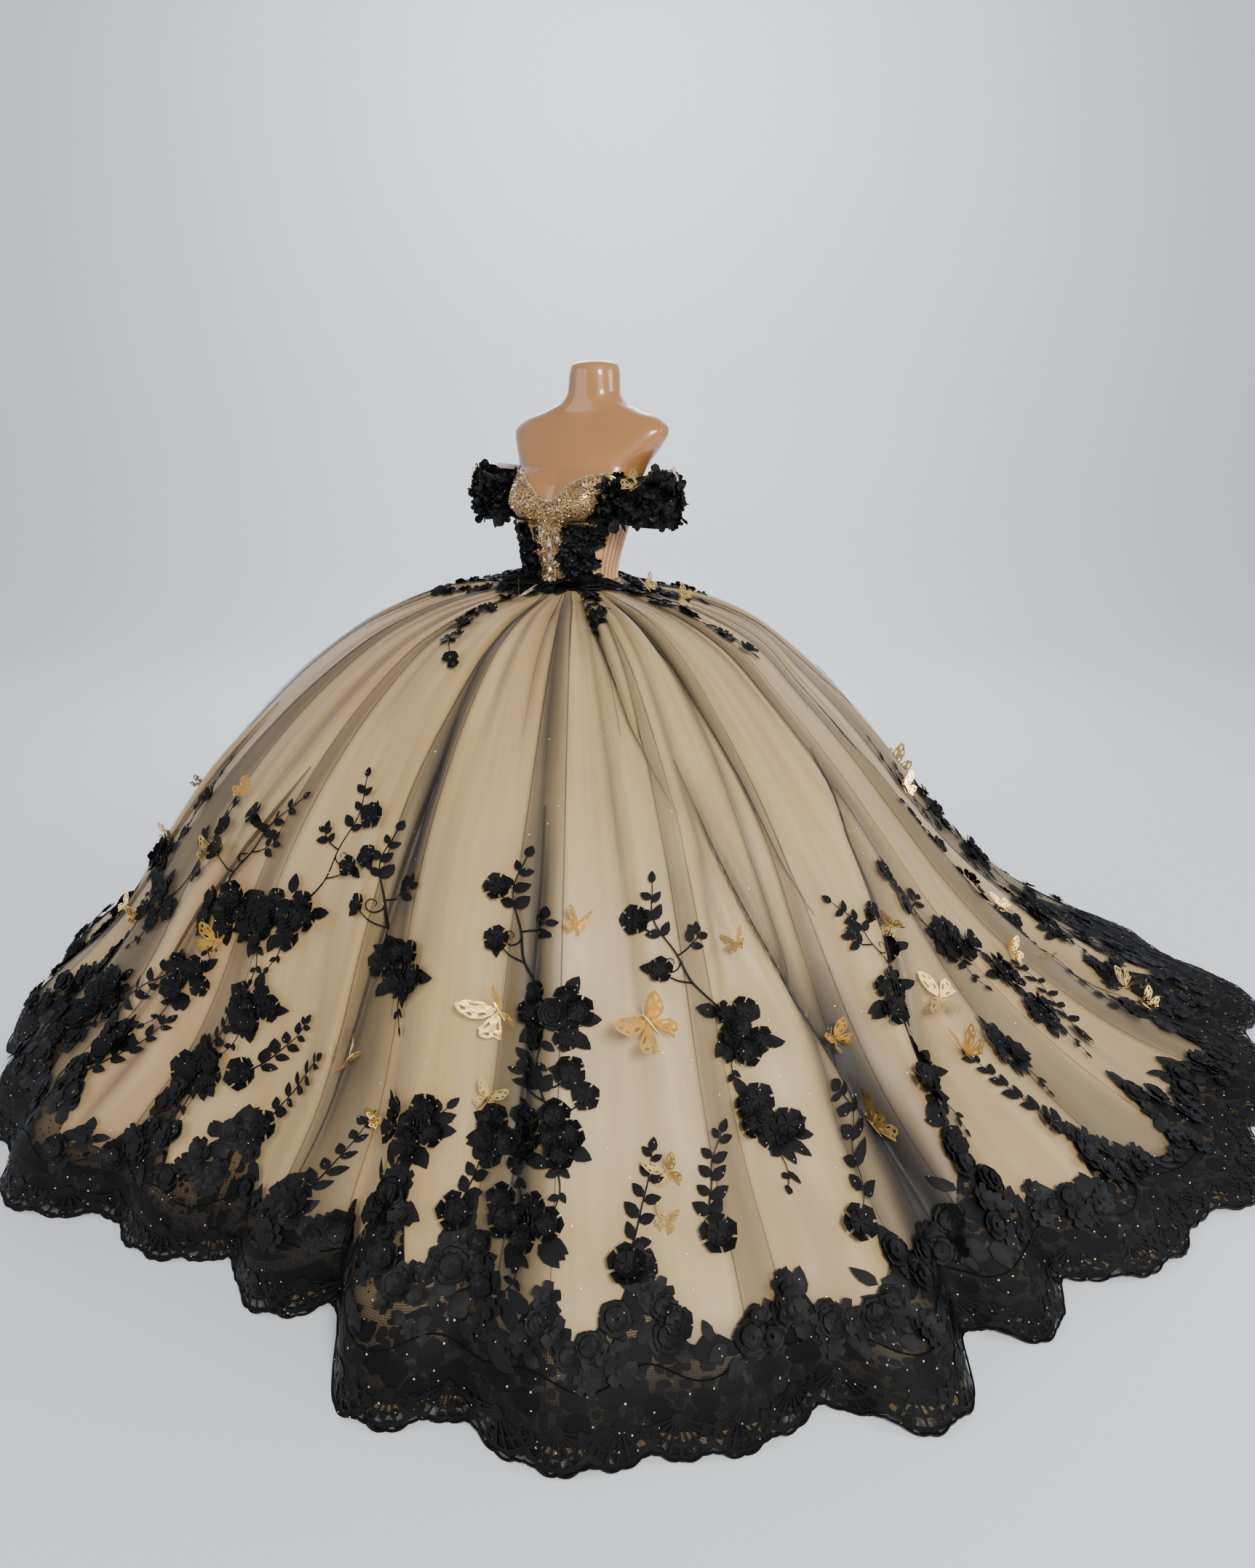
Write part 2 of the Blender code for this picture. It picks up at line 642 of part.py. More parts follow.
def make_skirt(parent, satin):
    """The full skirt in gores, from the waist seam to just above the floor."""
    for gore in range(GORES):
        numbers = gore_columns(gore)
        outer = skirt_grid(numbers, 0, LAST_ROW, lambda b, r: 0 * b + SATIN_WALL / 2)
        inner = skirt_grid(numbers, 0, LAST_ROW, lambda b, r: 0 * b - SATIN_WALL / 2)
        cells = grid_cells(len(numbers), LAST_ROW + 1)
        wall(f"skirt_gore_{gore + 1}", outer, inner, cells, satin, parent)


def lace_inner(bearing, row):
    """How far the lace's inner face is from the middle of the satin."""
    return 0 * bearing + SATIN_WALL / 2 + SEAM_GAP


def hem_lace_start(number):
    """How many rows lower than the highest peak the border starts in a column."""
    if number % 2:
        return min(2, 1 + min(hem_lace_start(number - 1), hem_lace_start(number + 1)))
    turn = number * 2 * math.pi / len(skirt_columns())
    wave = math.sin(17 * turn) + 0.8 * math.sin(31 * turn + 1.0)
    return int(np.clip(round(1.1 - 0.9 * wave), 0, 2))


def make_hem_lace(parent, lace):
    """The scalloped lace border over the skirt's foot, down to the floor."""
    first = LAST_ROW - HEM_LACE_ROWS
    rows = HEM_LACE_ROWS + 1
    for gore in range(GORES):
        numbers = gore_columns(gore)
        inner = skirt_grid(numbers, first, LAST_ROW, lace_inner)
        outer = skirt_grid(
            numbers, first, LAST_ROW,
            lambda b, r: lace_inner(b, r) + LACE_WALL + HEM_RELIEF * relief(b, r) * (r < LAST_ROW),
        )
        starts = [hem_lace_start(number) for number in numbers]
        cells = grid_cells(len(numbers), rows, first=starts)
        inner, outer, cells = add_scallops(numbers, inner, outer, cells, rows)
        wall(f"hem_lace_{gore + 1}", outer, inner, cells, lace, parent)


def add_scallops(numbers, inner, outer, cells, rows):
    """Ends the border past the satin's edge, in one scallop to the floor for each column."""
    inner, outer = list(inner), list(outer)
    for points in (inner, outer):
        for c in range(len(numbers)):
            foot = points[c * rows + rows - 1]
            foot[:2] += outward(foot) * HEM_OVERLAP
    for c in range(len(numbers) - 1):
        a, b = c * rows + rows - 1, (c + 1) * rows + rows - 1
        middle = (outer[a] + outer[b]) / 2
        tip = middle[:2] + outward(middle) * SCALLOP_REACH
        cells.append((a, b, len(inner)))
        inner.append(np.array([*tip, 0.0]))
        outer.append(np.array([*(tip + outward(middle) * LACE_WALL * 1.5), 0.0]))
    return inner, outer, cells


def outward(point):
    return point[:2] / np.linalg.norm(point[:2])


def make_waist_lace(parent, lace):
    """The lace round the top of the skirt, in two pieces, with sprays that reach down."""
    count = len(skirt_columns())
    middles = [round(float(column_number(bearing))) for bearing in WAIST_SPRAYS]
    rows = WAIST_LACE_ROWS + 1
    for part, (start, end) in enumerate(((0, count // 2), (count // 2, count)), 1):
        numbers = list(range(start, end + 1))
        columns = len(numbers)
        inner = skirt_grid(numbers, 0, WAIST_LACE_ROWS, lace_inner).reshape(columns, rows, 3)
        outer = skirt_grid(
            numbers, 0, WAIST_LACE_ROWS,
            lambda b, r: lace_inner(b, r) + LACE_WALL + WAIST_RELIEF * relief(b, r) * (r > 0),
        ).reshape(columns, rows, 3)
        for grid in (inner, outer):
            grid[:, 0] += (grid[:, 1] - grid[:, 0]) * WAIST_LACE_START
        lasts = [
            1 + max(0, SPRAY_ROWS - min(abs((n - m + count / 2) % count - count / 2) for m in middles))
            for n in numbers
        ]
        cells = grid_cells(columns, rows, last=lasts)
        wall(
            f"waist_lace_{part}", outer.reshape(-1, 3), inner.reshape(-1, 3), cells, lace, parent
        )


def seat_on_skirt(bearing, row):
    """Where a trim sits on a triangle of the satin's outer face, with its axes."""
    bearings = skirt_columns()
    count = len(bearings)
    number, share = divmod(float(column_number(bearing)), 1)
    number, top = int(number), int(row)
    down = row - top
    left, right = bearings[number], bearings[(number + 1) % count] + 360 * (number + 1 == count)
    if number % 2 == 0:
        third = (right, top) if share > down else (left, top + 1)
        corners = [(left, top), (right, top + 1), third]
    else:
        third = (left, top) if share + down < 1 else (right, top + 1)
        corners = [(right, top), (left, top + 1), third]
    points = np.array(
        [skirt_layer(np.array(b), np.array(float(r)), SATIN_WALL / 2) for b, r in corners]
    )
    away = [abs(b - bearing) / (right - left) + abs(r - row) for b, r in corners]
    weight = 1.6 - np.clip(away, 0, 1)
    middle = weight @ points / weight.sum()
    out = np.cross(points[1] - points[0], points[2] - points[0])
    out /= np.linalg.norm(out)
    if out @ skirt_normal(np.array(bearing), np.array(row)) < 0:
        out = -out
    up = np.array([0, 0, 1]) - out * out[2]
    up /= np.linalg.norm(up)
    return middle + out * SEAM_GAP, np.cross(up, out), up, out


def make_roses(parent, lace):
    """Domed roses, each with five petals round its edge, seated on a small foot."""
    sides = 15
    angles = np.arange(sides) * 2 * math.pi / sides
    lobes = 1 + 0.13 * np.cos(5 * angles)
    rings = [
        # radius, height
        (ROSE_FOOT + 0 * angles, 0 * angles),
        (ROSE_RADIUS * lobes, 0 * angles + 0.017),
        (ROSE_RADIUS * 0.55 * lobes, 0 * angles + ROSE_HEIGHT),
    ]
    for index, (bearing, row) in enumerate(ROSES, 1):
        middle, right, up, out = seat_on_skirt(bearing, row)
        points = [
            middle + right * r * math.cos(a) + up * r * math.sin(a) + out * h
            for radius, height in rings
            for r, h, a in zip(radius, height, angles)
        ]
        points.append(middle + out * (ROSE_HEIGHT - 0.005))
        faces = [list(reversed(range(sides)))]
        for ring in range(2):
            for k in range(sides):
                after = (k + 1) % sides
                low = ring * sides
                faces.append([low + k, low + after, low + sides + after])
                faces.append([low + k, low + sides + after, low + sides + k])
        top = 2 * sides
        faces += [[top + k, top + (k + 1) % sides, 3 * sides] for k in range(sides)]
        solid(f"rose_{index}", points, faces, lace, parent)


def make_butterflies(parent, gilt):
    """Thin butterflies with raised wings, each held at its body."""
    half = BUTTERFLY_SPAN / 2
    right_side = [(half * x, half * y) for x, y in WING_OUTLINE]
    left_side = [(-x, y) for x, y in reversed(right_side[1:-1])]
    outline = right_side + left_side
    head, tail = 0, len(right_side) - 1
    lift = math.tan(math.radians(BUTTERFLY_LIFT))
    for index, (bearing, row, turn) in enumerate(BUTTERFLIES, 1):
        middle, right, up, out = seat_on_skirt(bearing, row)
        c, s = math.cos(math.radians(turn)), math.sin(math.radians(turn))
        across, along = right * c + up * s, up * c - right * s
        points = [
            middle + across * x + along * y + out * (abs(x) * lift + high)
            for high in (0, BUTTERFLY_WALL)
            for x, y in outline
        ]
        count = len(outline)
        halves = [list(range(head, tail + 1)), [*range(tail, count), head]]
        faces = [list(reversed(half_face)) for half_face in halves]
        faces += [[count + k for k in half_face] for half_face in halves]
        for k in range(count):
            after = (k + 1) % count
            faces.append([k, after, count + after])
            faces.append([k, count + after, count + k])
        solid(f"butterfly_{index}", points, faces, gilt, parent)


def main():
    for old in list(bpy.data.objects):
        bpy.data.objects.remove(old)
    gown = bpy.data.objects.new("gown", None)
    bpy.context.scene.collection.objects.link(gown)
    stand = bpy.data.objects.new("stand", None)
    bpy.context.scene.collection.objects.link(stand)
    satin = material("champagne satin under black tulle", (0.62, 0.52, 0.36), 0.42)
    lace = material("black lace", (0.012, 0.012, 0.014), 0.55)
    gold = material("gold beading", (0.55, 0.36, 0.15), 0.35, 0.6)
    nude = material("nude mesh", (0.62, 0.36, 0.20), 0.5)
    blush = material("blush satin", (0.80, 0.62, 0.50), 0.4)
    gilt = material("gilt foil", (0.83, 0.58, 0.20), 0.25, 0.9)
    shell = material("tan gloss shell", (0.52, 0.30, 0.16), 0.15)
    metal = material("grey steel", (0.45, 0.45, 0.46), 0.35, 1.0)
    make_form(stand, shell, metal)
    make_bodice(gown, gold, lace, nude, blush)
    make_sleeves(gown, lace)
    make_skirt(gown, satin)
    make_hem_lace(gown, lace)
    make_waist_lace(gown, lace)
    make_roses(gown, lace)
    make_butterflies(gown, gilt)


main()
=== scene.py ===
"""Looks of the quinceanera gown on its limbless dress form: cloth, lace, beads, light, camera.

Metres, +Z up; the gown faces -Y and the wearer's left is +X.  A bearing is a plan angle in
degrees: 0 at the front, 90 at the wearer's left, 180 at the back.  The surface functions repeat
those of the solids, so that the fine cloth lies on their form.
"""

import json
import math

import bpy
import numpy as np
from mathutils import Matrix, Vector

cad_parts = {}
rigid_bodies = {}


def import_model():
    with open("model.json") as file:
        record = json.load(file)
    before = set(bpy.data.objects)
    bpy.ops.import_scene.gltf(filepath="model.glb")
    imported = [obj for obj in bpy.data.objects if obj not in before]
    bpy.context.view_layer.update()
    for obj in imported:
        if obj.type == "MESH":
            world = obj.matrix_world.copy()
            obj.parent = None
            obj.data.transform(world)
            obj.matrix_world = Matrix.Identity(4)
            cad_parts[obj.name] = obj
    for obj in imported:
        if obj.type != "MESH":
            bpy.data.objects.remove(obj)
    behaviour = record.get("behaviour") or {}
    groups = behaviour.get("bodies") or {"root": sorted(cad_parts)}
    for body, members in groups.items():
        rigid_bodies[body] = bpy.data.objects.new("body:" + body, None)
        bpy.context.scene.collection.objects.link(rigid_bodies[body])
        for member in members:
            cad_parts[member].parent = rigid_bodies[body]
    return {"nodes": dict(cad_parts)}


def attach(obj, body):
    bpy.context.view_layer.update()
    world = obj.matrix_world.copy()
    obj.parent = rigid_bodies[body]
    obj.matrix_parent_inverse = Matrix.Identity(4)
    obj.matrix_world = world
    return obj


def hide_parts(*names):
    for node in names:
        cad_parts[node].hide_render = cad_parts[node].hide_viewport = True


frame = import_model()

MM = 0.001
BODICE_WALL = 2.0 * MM
BODICE_CLEARANCE = 2.0 * MM
WAIST_CLEARANCE = 0.7 * MM

# Dress form
WAIST_HEIGHT = 1.06
FORM_ROUNDNESS = 2.2
SHOULDER_CUT = 0.198
FORM_SECTIONS = [
    # height, half_width, half_depth, backward, sideways
    (0.860, 0.140, 0.098, -0.004, 0.000),
    (0.885, 0.160, 0.112, -0.004, 0.000),
    (0.940, 0.163, 0.116, -0.002, 0.000),
    (1.000, 0.137, 0.100, 0.000, 0.000),
    (1.035, 0.116, 0.088, 0.000, 0.000),
    (1.060, 0.108, 0.083, 0.000, 0.000),
    (1.090, 0.110, 0.084, 0.002, 0.000),
    (1.130, 0.118, 0.089, 0.006, 0.001),
    (1.170, 0.128, 0.096, 0.010, 0.002),
    (1.220, 0.138, 0.104, 0.016, 0.004),
    (1.265, 0.148, 0.100, 0.026, 0.007),
    (1.305, 0.165, 0.090, 0.038, 0.011),
    (1.345, 0.190, 0.077, 0.050, 0.015),
    (1.378, 0.203, 0.064, 0.058, 0.018),
    (1.402, 0.178, 0.055, 0.064, 0.019),
    (1.422, 0.120, 0.050, 0.068, 0.020),
    (1.440, 0.078, 0.050, 0.072, 0.020),
    (1.462, 0.061, 0.052, 0.075, 0.020),
    (1.500, 0.057, 0.053, 0.079, 0.020),
    (1.518, 0.052, 0.049, 0.081, 0.020),
    (1.526, 0.036, 0.035, 0.082, 0.020),
]

# Bodice
SEAM_HEIGHT = 1.052
SEAM_DIP = 0.014
SEAM_DIP_SPREAD = 30.0
CUP_SEAM_HEIGHT = 1.183
CUP_BULGE = 0.036
CUP_BEARING = 27.0
CUP_SPREAD = 21.0
BODICE_EDGE = [
    # bearing, height of the top edge on either side
    (0.0, 1.232),
    (5.0, 1.236),
    (14.0, 1.262),
    (30.0, 1.288),
    (48.0, 1.292),
    (64.0, 1.282),
    (90.0, 1.252),
    (130.0, 1.240),
    (180.0, 1.236),
]
CENTRE_HALF = 21.0
CUP_SIDE = 52.0
SIDE_FRONT_END = 66.0
SIDE_END = 104.0
BACK_PLEATS = 6
BACK_PLEAT_DEPTH = 2.6 * MM

# Off-the-shoulder sleeves
SLEEVE_CENTRE_X = 0.152
SLEEVE_CENTRE_Y = 0.020
SLEEVE_REACH_X = 0.090
SLEEVE_REACH_Y = 0.090
SLEEVE_FRONT = 56.0
SLEEVE_BACK = SIDE_END + (180 - SIDE_END) * 5 / (2 * BACK_PLEATS)
SLEEVE_SEAT = 0.6 * MM
SLEEVE_TURN = 104.0
SLEEVE_MIDDLE_HEIGHT = 1.232
SLEEVE_HALF_HEIGHT = 0.060
SLEEVE_END_HALF_HEIGHT = 0.036
SLEEVE_PUFF = 0.016

# Skirt
SKIRT_SECTIONS = [
    # height, radius, train_height, train_radius, fold_share, outline_share
    (1.050, 0.110, 1.050, 0.110, 0.00, 0.00),
    (1.040, 0.175, 1.036, 0.175, 0.00, 0.00),
    (1.017, 0.300, 1.006, 0.300, 0.02, 0.00),
    (0.962, 0.450, 0.944, 0.440, 0.05, 0.05),
    (0.867, 0.598, 0.835, 0.550, 0.10, 0.12),
    (0.752, 0.732, 0.710, 0.670, 0.18, 0.22),
    (0.626, 0.850, 0.577, 0.785, 0.28, 0.36),
    (0.494, 0.950, 0.440, 0.905, 0.40, 0.52),
    (0.366, 1.040, 0.304, 1.045, 0.53, 0.68),
    (0.254, 1.140, 0.180, 1.215, 0.68, 0.82),
    (0.156, 1.270, 0.082, 1.400, 0.83, 0.92),
    (0.066, 1.362, 0.034, 1.575, 0.94, 0.98),
    (0.014, 1.385, 0.014, 1.725, 1.00, 1.00),
]
LAST_ROW = len(SKIRT_SECTIONS) - 1
HEM_RADIUS = 1.385
TRAIN_RADIUS = 1.725
HEM_OUTLINE = [
    # bearing, reach of the ridges at the hem
    (-160.0, 1.39),
    (-125.0, 1.37),
    (-90.0, 1.37),
    (-55.0, 1.375),
    (-23.0, 1.375),
    (-10.0, 1.27),
    (1.0, 1.21),
    (7.0, 1.22),
    (13.0, 1.235),
    (18.5, 1.345),
    (24.0, 1.36),
    (31.0, 1.395),
    (38.0, 1.41),
    (46.0, 1.395),
    (54.5, 1.465),
    (66.0, 1.435),
    (75.0, 1.465),
    (83.0, 1.555),
    (91.0, 1.61),
    (99.0, 1.67),
    (114.0, 1.725),
    (122.0, 1.67),
    (131.0, 1.55),
    (143.0, 1.40),
    (162.0, 1.385),
]
FOLDS = [
    # bearing of the trough, depth at the hem, share of the skirt where it starts
    (-172.0, 0.080, 0.10),
    (-158.0, 0.065, 0.05),
    (-144.0, 0.090, 0.12),
    (-131.0, 0.060, 0.05),
    (-117.0, 0.085, 0.10),
    (-104.0, 0.060, 0.08),
    (-90.0, 0.080, 0.05),
    (-77.0, 0.060, 0.10),
    (-64.0, 0.080, 0.08),
    (-51.0, 0.060, 0.05),
    (-38.0, 0.070, 0.10),
    (-25.0, 0.055, 0.05),
    (-11.0, 0.055, 0.05),
    (2.0, 0.055, 0.08),
    (14.0, 0.080, 0.05),
    (26.0, 0.050, 0.02),
    (38.0, 0.025, 0.02),
    (50.0, 0.060, 0.12),
    (61.0, 0.110, 0.10),
    (70.5, 0.070, 0.05),
    (83.0, 0.060, 0.08),
    (96.0, 0.080, 0.05),
    (109.0, 0.080, 0.08),
    (123.0, 0.060, 0.05),
    (138.0, 0.080, 0.08),
    (155.0, 0.080, 0.05),
    (171.0, 0.070, 0.08),
]
FOLD_SPREAD = 0.27
FOLD_COLUMNS = (0.0, 0.22, 0.50, 0.78)
GATHER_DEPTH = 5.0 * MM
GATHER_LENGTH = 3.2
SKIRT_CLEARANCE = 1.5 * MM
SEAM_DROP = 1.5 * MM
BACK_DROP = 0.020
BACK_DROP_SIDE = 140.0
FULLER_SIDE = -58.0
FULLER_SHARE = 0.008


def smooth_curve(xs, ys, x):
    """Cubic through the table's points, flat at turning points so that it never overshoots."""
    xs = np.asarray(xs, float)
    ys = np.asarray(ys, float)
    x = np.clip(np.asarray(x, float), xs[0], xs[-1])
    slope = np.diff(ys) / np.diff(xs)
    tangent = np.empty_like(ys)
    tangent[0], tangent[-1] = slope[0], slope[-1]
    product = slope[:-1] * slope[1:]
    total = slope[:-1] + slope[1:]
    tangent[1:-1] = np.where(product > 0, 2 * product / np.where(total == 0, 1, total), 0)
    k = np.clip(np.searchsorted(xs, x, side="right") - 1, 0, len(xs) - 2)
    width = xs[k + 1] - xs[k]
    t = (x - xs[k]) / width
    a = (1 + 2 * t) * (1 - t) ** 2
    b = t * (1 - t) ** 2
    c = t * t * (3 - 2 * t)
    d = t * t * (t - 1)
    return a * ys[k] + b * width * tangent[k] + c * ys[k + 1] + d * width * tangent[k + 1]


def round_curve(table, bearing):
    """A smooth curve through (bearing, value) rows that closes on itself after 360 degrees."""
    rows = np.array(table, float)
    xs = np.concatenate([rows[-3:, 0] - 360, rows[:, 0], rows[:3, 0] + 360])
    ys = np.concatenate([rows[-3:, 1], rows[:, 1], rows[:3, 1]])
    start = rows[0, 0]
    wrapped = (np.asarray(bearing, float) - start) % 360 + start
    return smooth_curve(xs, ys, wrapped)


def column(table, index):
    return np.array([row[index] for row in table], float)


def turned(bearing):
    """Unit plan direction of a bearing."""
    angle = np.radians(bearing)
    return np.sin(angle), -np.cos(angle)


# The dress form's surface


def form_point(bearing, height):
    """A point on the form; the bearing is measured round the section's own oval."""
    heights = column(FORM_SECTIONS, 0)
    half_width, half_depth, backward, sideways = (
        np.interp(height, heights, column(FORM_SECTIONS, k)) for k in (1, 2, 3, 4)
    )
    across, along = turned(bearing)
    power = 2 / FORM_ROUNDNESS
    x = half_width * np.sign(across) * np.abs(across) ** power
    y = half_depth * np.sign(along) * np.abs(along) ** power
    x = np.clip(x, -SHOULDER_CUT, SHOULDER_CUT)
    return np.stack([x + sideways, y + backward, height + 0 * x], axis=-1)


# The bodice's surface, which lies just outside the form


def seam_height(bearing):
    return SEAM_HEIGHT - SEAM_DIP * np.exp(-((bearing / SEAM_DIP_SPREAD) ** 2))


def edge_height(bearing):
    return smooth_curve(column(BODICE_EDGE, 0), column(BODICE_EDGE, 1), np.abs(bearing))


def bodice_point(bearing, height, out):
    """A point at a distance out from the bodice's inner face."""
    point = form_point(bearing, height)
    side = np.stack([*turned(bearing), 0 * bearing], axis=-1)
    near_waist = np.exp(-(((height - WAIST_HEIGHT) / 0.02) ** 2))
    clear = BODICE_CLEARANCE + (WAIST_CLEARANCE - BODICE_CLEARANCE) * near_waist
    window = np.clip((height - CUP_SEAM_HEIGHT) / (1.30 - CUP_SEAM_HEIGHT), 0, 1)
    window = np.sin(math.pi * window ** 0.8) ** 0.8
    away = (np.abs(bearing) - CUP_BEARING) / CUP_SPREAD
    bulge = CUP_BULGE * window * np.exp(-(away ** 2))
    return point + side * (clear + bulge + out)[..., None]


# The skirt's surface


def fold_bearings():
    return column(FOLDS, 0)


def skirt_columns():
    """The bearings of the skirt's columns, a few in each fold and closest at its troughs."""
    troughs = fold_bearings()
    following = np.append(troughs[1:], troughs[0] + 360)
    return np.array(
        [a + share * (b - a) for a, b in zip(troughs, following) for share in FOLD_COLUMNS]
    )


def column_number(bearing):
    """A bearing as a running column number, which the gathers follow."""
    bearings = skirt_columns()
    wrapped = (bearing - bearings[0]) % 360 + bearings[0]
    return np.interp(wrapped, np.append(bearings, bearings[0] + 360), np.arange(len(bearings) + 1))


def waist_reach(bearing, height):
    """How far from the middle the skirt starts, just outside the form's oval."""
    across, along = turned(bearing)
    heights = column(FORM_SECTIONS, 0)
    half_width = np.interp(height, heights, column(FORM_SECTIONS, 1)) + SKIRT_CLEARANCE
    half_depth = np.interp(height, heights, column(FORM_SECTIONS, 2)) + SKIRT_CLEARANCE
    n = FORM_ROUNDNESS
    return (np.abs(across / half_width) ** n + np.abs(along / half_depth) ** n) ** (-1 / n)


def skirt_point(bearing, row):
    """A point in the middle of the satin, at a bearing and a row that may be a fraction."""
    bearing, row = np.broadcast_arrays(np.asarray(bearing, float), np.asarray(row, float))
    numbers = np.arange(LAST_ROW + 1)
    height, radius, train_height, train_radius, fold_share, outline_share = (
        smooth_curve(numbers, column(SKIRT_SECTIONS, k), row) for k in range(6)
    )
    hem = round_curve(HEM_OUTLINE, bearing)
    train = np.clip((hem - HEM_RADIUS) / (TRAIN_RADIUS - HEM_RADIUS), 0, 1)
    reach = radius + (train_radius - radius) * train
    z = height + (train_height - height) * train
    reach = reach * (1 + outline_share * (np.minimum(hem, HEM_RADIUS) / HEM_RADIUS - 1))
    fuller = FULLER_SHARE * np.cos(np.radians(bearing - FULLER_SIDE))
    reach = reach * (1 + fuller * np.sin(math.pi * np.clip(row / LAST_ROW, 0, 1)) ** 2)
    troughs = fold_bearings()
    gap = np.diff(np.append(troughs, troughs[0] + 360))
    spread = FOLD_SPREAD * (gap + np.roll(gap, 1)) / 2
    for trough, depth, start, width in zip(
        troughs, column(FOLDS, 1), column(FOLDS, 2), spread
    ):
        away = (bearing - trough + 180) % 360 - 180
        grown = np.clip((fold_share - start) / (1 - start), 0, 1) ** 1.15
        reach = reach - depth * grown * np.exp(-((away / width) ** 2))
    across, along = turned(bearing)
    near_seam = np.clip(1 - row / 2, 0, 1)
    seam = seam_height((bearing + 180) % 360 - 180)
    dip_share = np.clip(1.5 - row / 2, 0, 1)
    reach = reach + (waist_reach(bearing, seam) - SKIRT_SECTIONS[0][1]) * near_seam ** 2
    gather = np.clip(1 - (row - 1) / GATHER_LENGTH, 0, 1) * np.clip(row - 1, 0, 1)
    z = z + GATHER_DEPTH * gather * np.cos(math.pi * column_number(bearing))
    z = z + (seam - SEAM_DROP - SKIRT_SECTIONS[0][0]) * dip_share
    drop = BACK_DROP * (0.5 + 0.5 * np.cos(np.radians(bearing - BACK_DROP_SIDE)))
    z = z - drop * np.clip(row, 0, 1) * np.clip((9 - row) / 5, 0, 1)
    return np.stack([across * reach, along * reach, z], axis=-1)


def sleeve_point(turn, share, out, side):
    """A point of a sleeve: turn runs from the front end round the outside to the back end."""
    along = turn / SLEEVE_TURN
    open_share = np.cos(along * math.pi / 2)
    half = SLEEVE_END_HALF_HEIGHT + (SLEEVE_HALF_HEIGHT - SLEEVE_END_HALF_HEIGHT) * open_share
    z = SLEEVE_MIDDLE_HEIGHT + half * (2 * share - 1)
    puff = SLEEVE_PUFF * open_share * np.sqrt(np.clip(1 - (2 * share - 1) ** 2, 0, 1))
    angle = np.radians(turn)
    x = SLEEVE_CENTRE_X + (SLEEVE_REACH_X + puff + out) * np.cos(angle)
    y = SLEEVE_CENTRE_Y + (SLEEVE_REACH_Y + puff + out) * np.sin(angle)
    point = np.stack([side * x, y, z], axis=-1)
    for end, bearing, raised in ((-1, SLEEVE_FRONT, 0.0), (1, SLEEVE_BACK, BACK_PLEAT_DEPTH)):
        last = np.radians(end * SLEEVE_TURN)
        free_x = side * (SLEEVE_CENTRE_X + SLEEVE_REACH_X * np.cos(last)) + 0 * z
        free_y = SLEEVE_CENTRE_Y + SLEEVE_REACH_Y * np.sin(last) + 0 * z
        seat = BODICE_WALL + raised + SLEEVE_SEAT
        held_end = bodice_point(side * bearing + 0 * z, z, seat + 0 * z)
        near = ((1 + end * along) / 2) ** 5
        point = point + (held_end - np.stack([free_x, free_y, z], axis=-1)) * near[..., None]
    return point


# The fine skirt: small pleats over the solid's folds, kept as a grid that every layer reads

GRID_STEP = 0.25
GRID_BEARINGS = np.arange(-180, 180, GRID_STEP)
GRID_ROWS = np.linspace(0, LAST_ROW, LAST_ROW * 10 + 1)
PLEATS = 64
PLEAT_SEED = 11


# Drapes: folds with one sharp edge; their grooves also get painted shade in the crease values.
DRAPES = [
    # depth, width in metres, then bearings and rows of a fold's sharp edge, from its start down
    (0.016, 0.030, [(50.5, 4.5), (51.5, 5.4), (54.5, 6.5), (58.0, 7.6), (61.5, 9.2), (62.5, 11.0)]),
    (0.020, 0.034, [(81.0, 4.7), (74.5, 5.8), (72.5, 7.2), (68.0, 8.9), (65.0, 10.6)]),
    (0.009, 0.022, [(56.0, 1.6), (58.0, 3.0), (59.5, 4.4), (61.5, 5.9), (63.5, 6.6)]),
    (0.008, 0.018, [(40.0, 1.4), (41.0, 2.6), (43.5, 4.0), (48.0, 5.2)]),
    (0.010, 0.026, [(12.0, 4.0), (10.5, 6.35), (9.0, 8.0), (8.0, 10.0)]),
    (0.009, 0.024, [(30.0, 5.0), (28.5, 8.15), (28.0, 10.0)]),
    (0.012, 0.030, [(-12.0, 5.0), (-18.0, 7.0), (-21.0, 9.5)]),
    (0.012, 0.030, [(-40.0, 4.6), (-44.0, 7.0), (-46.0, 9.5)]),
    (0.014, 0.030, [(-70.0, 4.4), (-73.0, 6.6), (-76.0, 9.5)]),
    (0.012, 0.028, [(-112.0, 4.8), (-108.0, 7.0), (-106.0, 9.5)]),
    (0.015, 0.032, [(-140.0, 4.4), (-136.0, 6.8), (-134.0, 9.5)]),
    (0.014, 0.030, [(170.0, 4.6), (175.0, 7.0), (177.0, 9.5)]),
    (0.015, 0.032, [(138.0, 4.5), (134.0, 7.0), (131.0, 10.0)]),
    (0.013, 0.028, [(104.0, 4.6), (106.0, 7.0), (109.0, 10.0)]),
]


def pleat_table():
    """Bearing, lean per row, depth and last row of each small pleat."""
    rng = np.random.default_rng(PLEAT_SEED)
    number = np.arange(PLEATS)
    bearing = -180 + 360 * (number + rng.uniform(0.1, 0.9, PLEATS)) / PLEATS
    lean = rng.uniform(-0.5, 0.5, PLEATS)
    depth = rng.uniform(0.003, 0.009, PLEATS)
    end = rng.choice([3.5, 4.5, 6.0, 8.0, 11.5], PLEATS, p=[0.25, 0.25, 0.2, 0.15, 0.15])
    return bearing, lean, depth, end


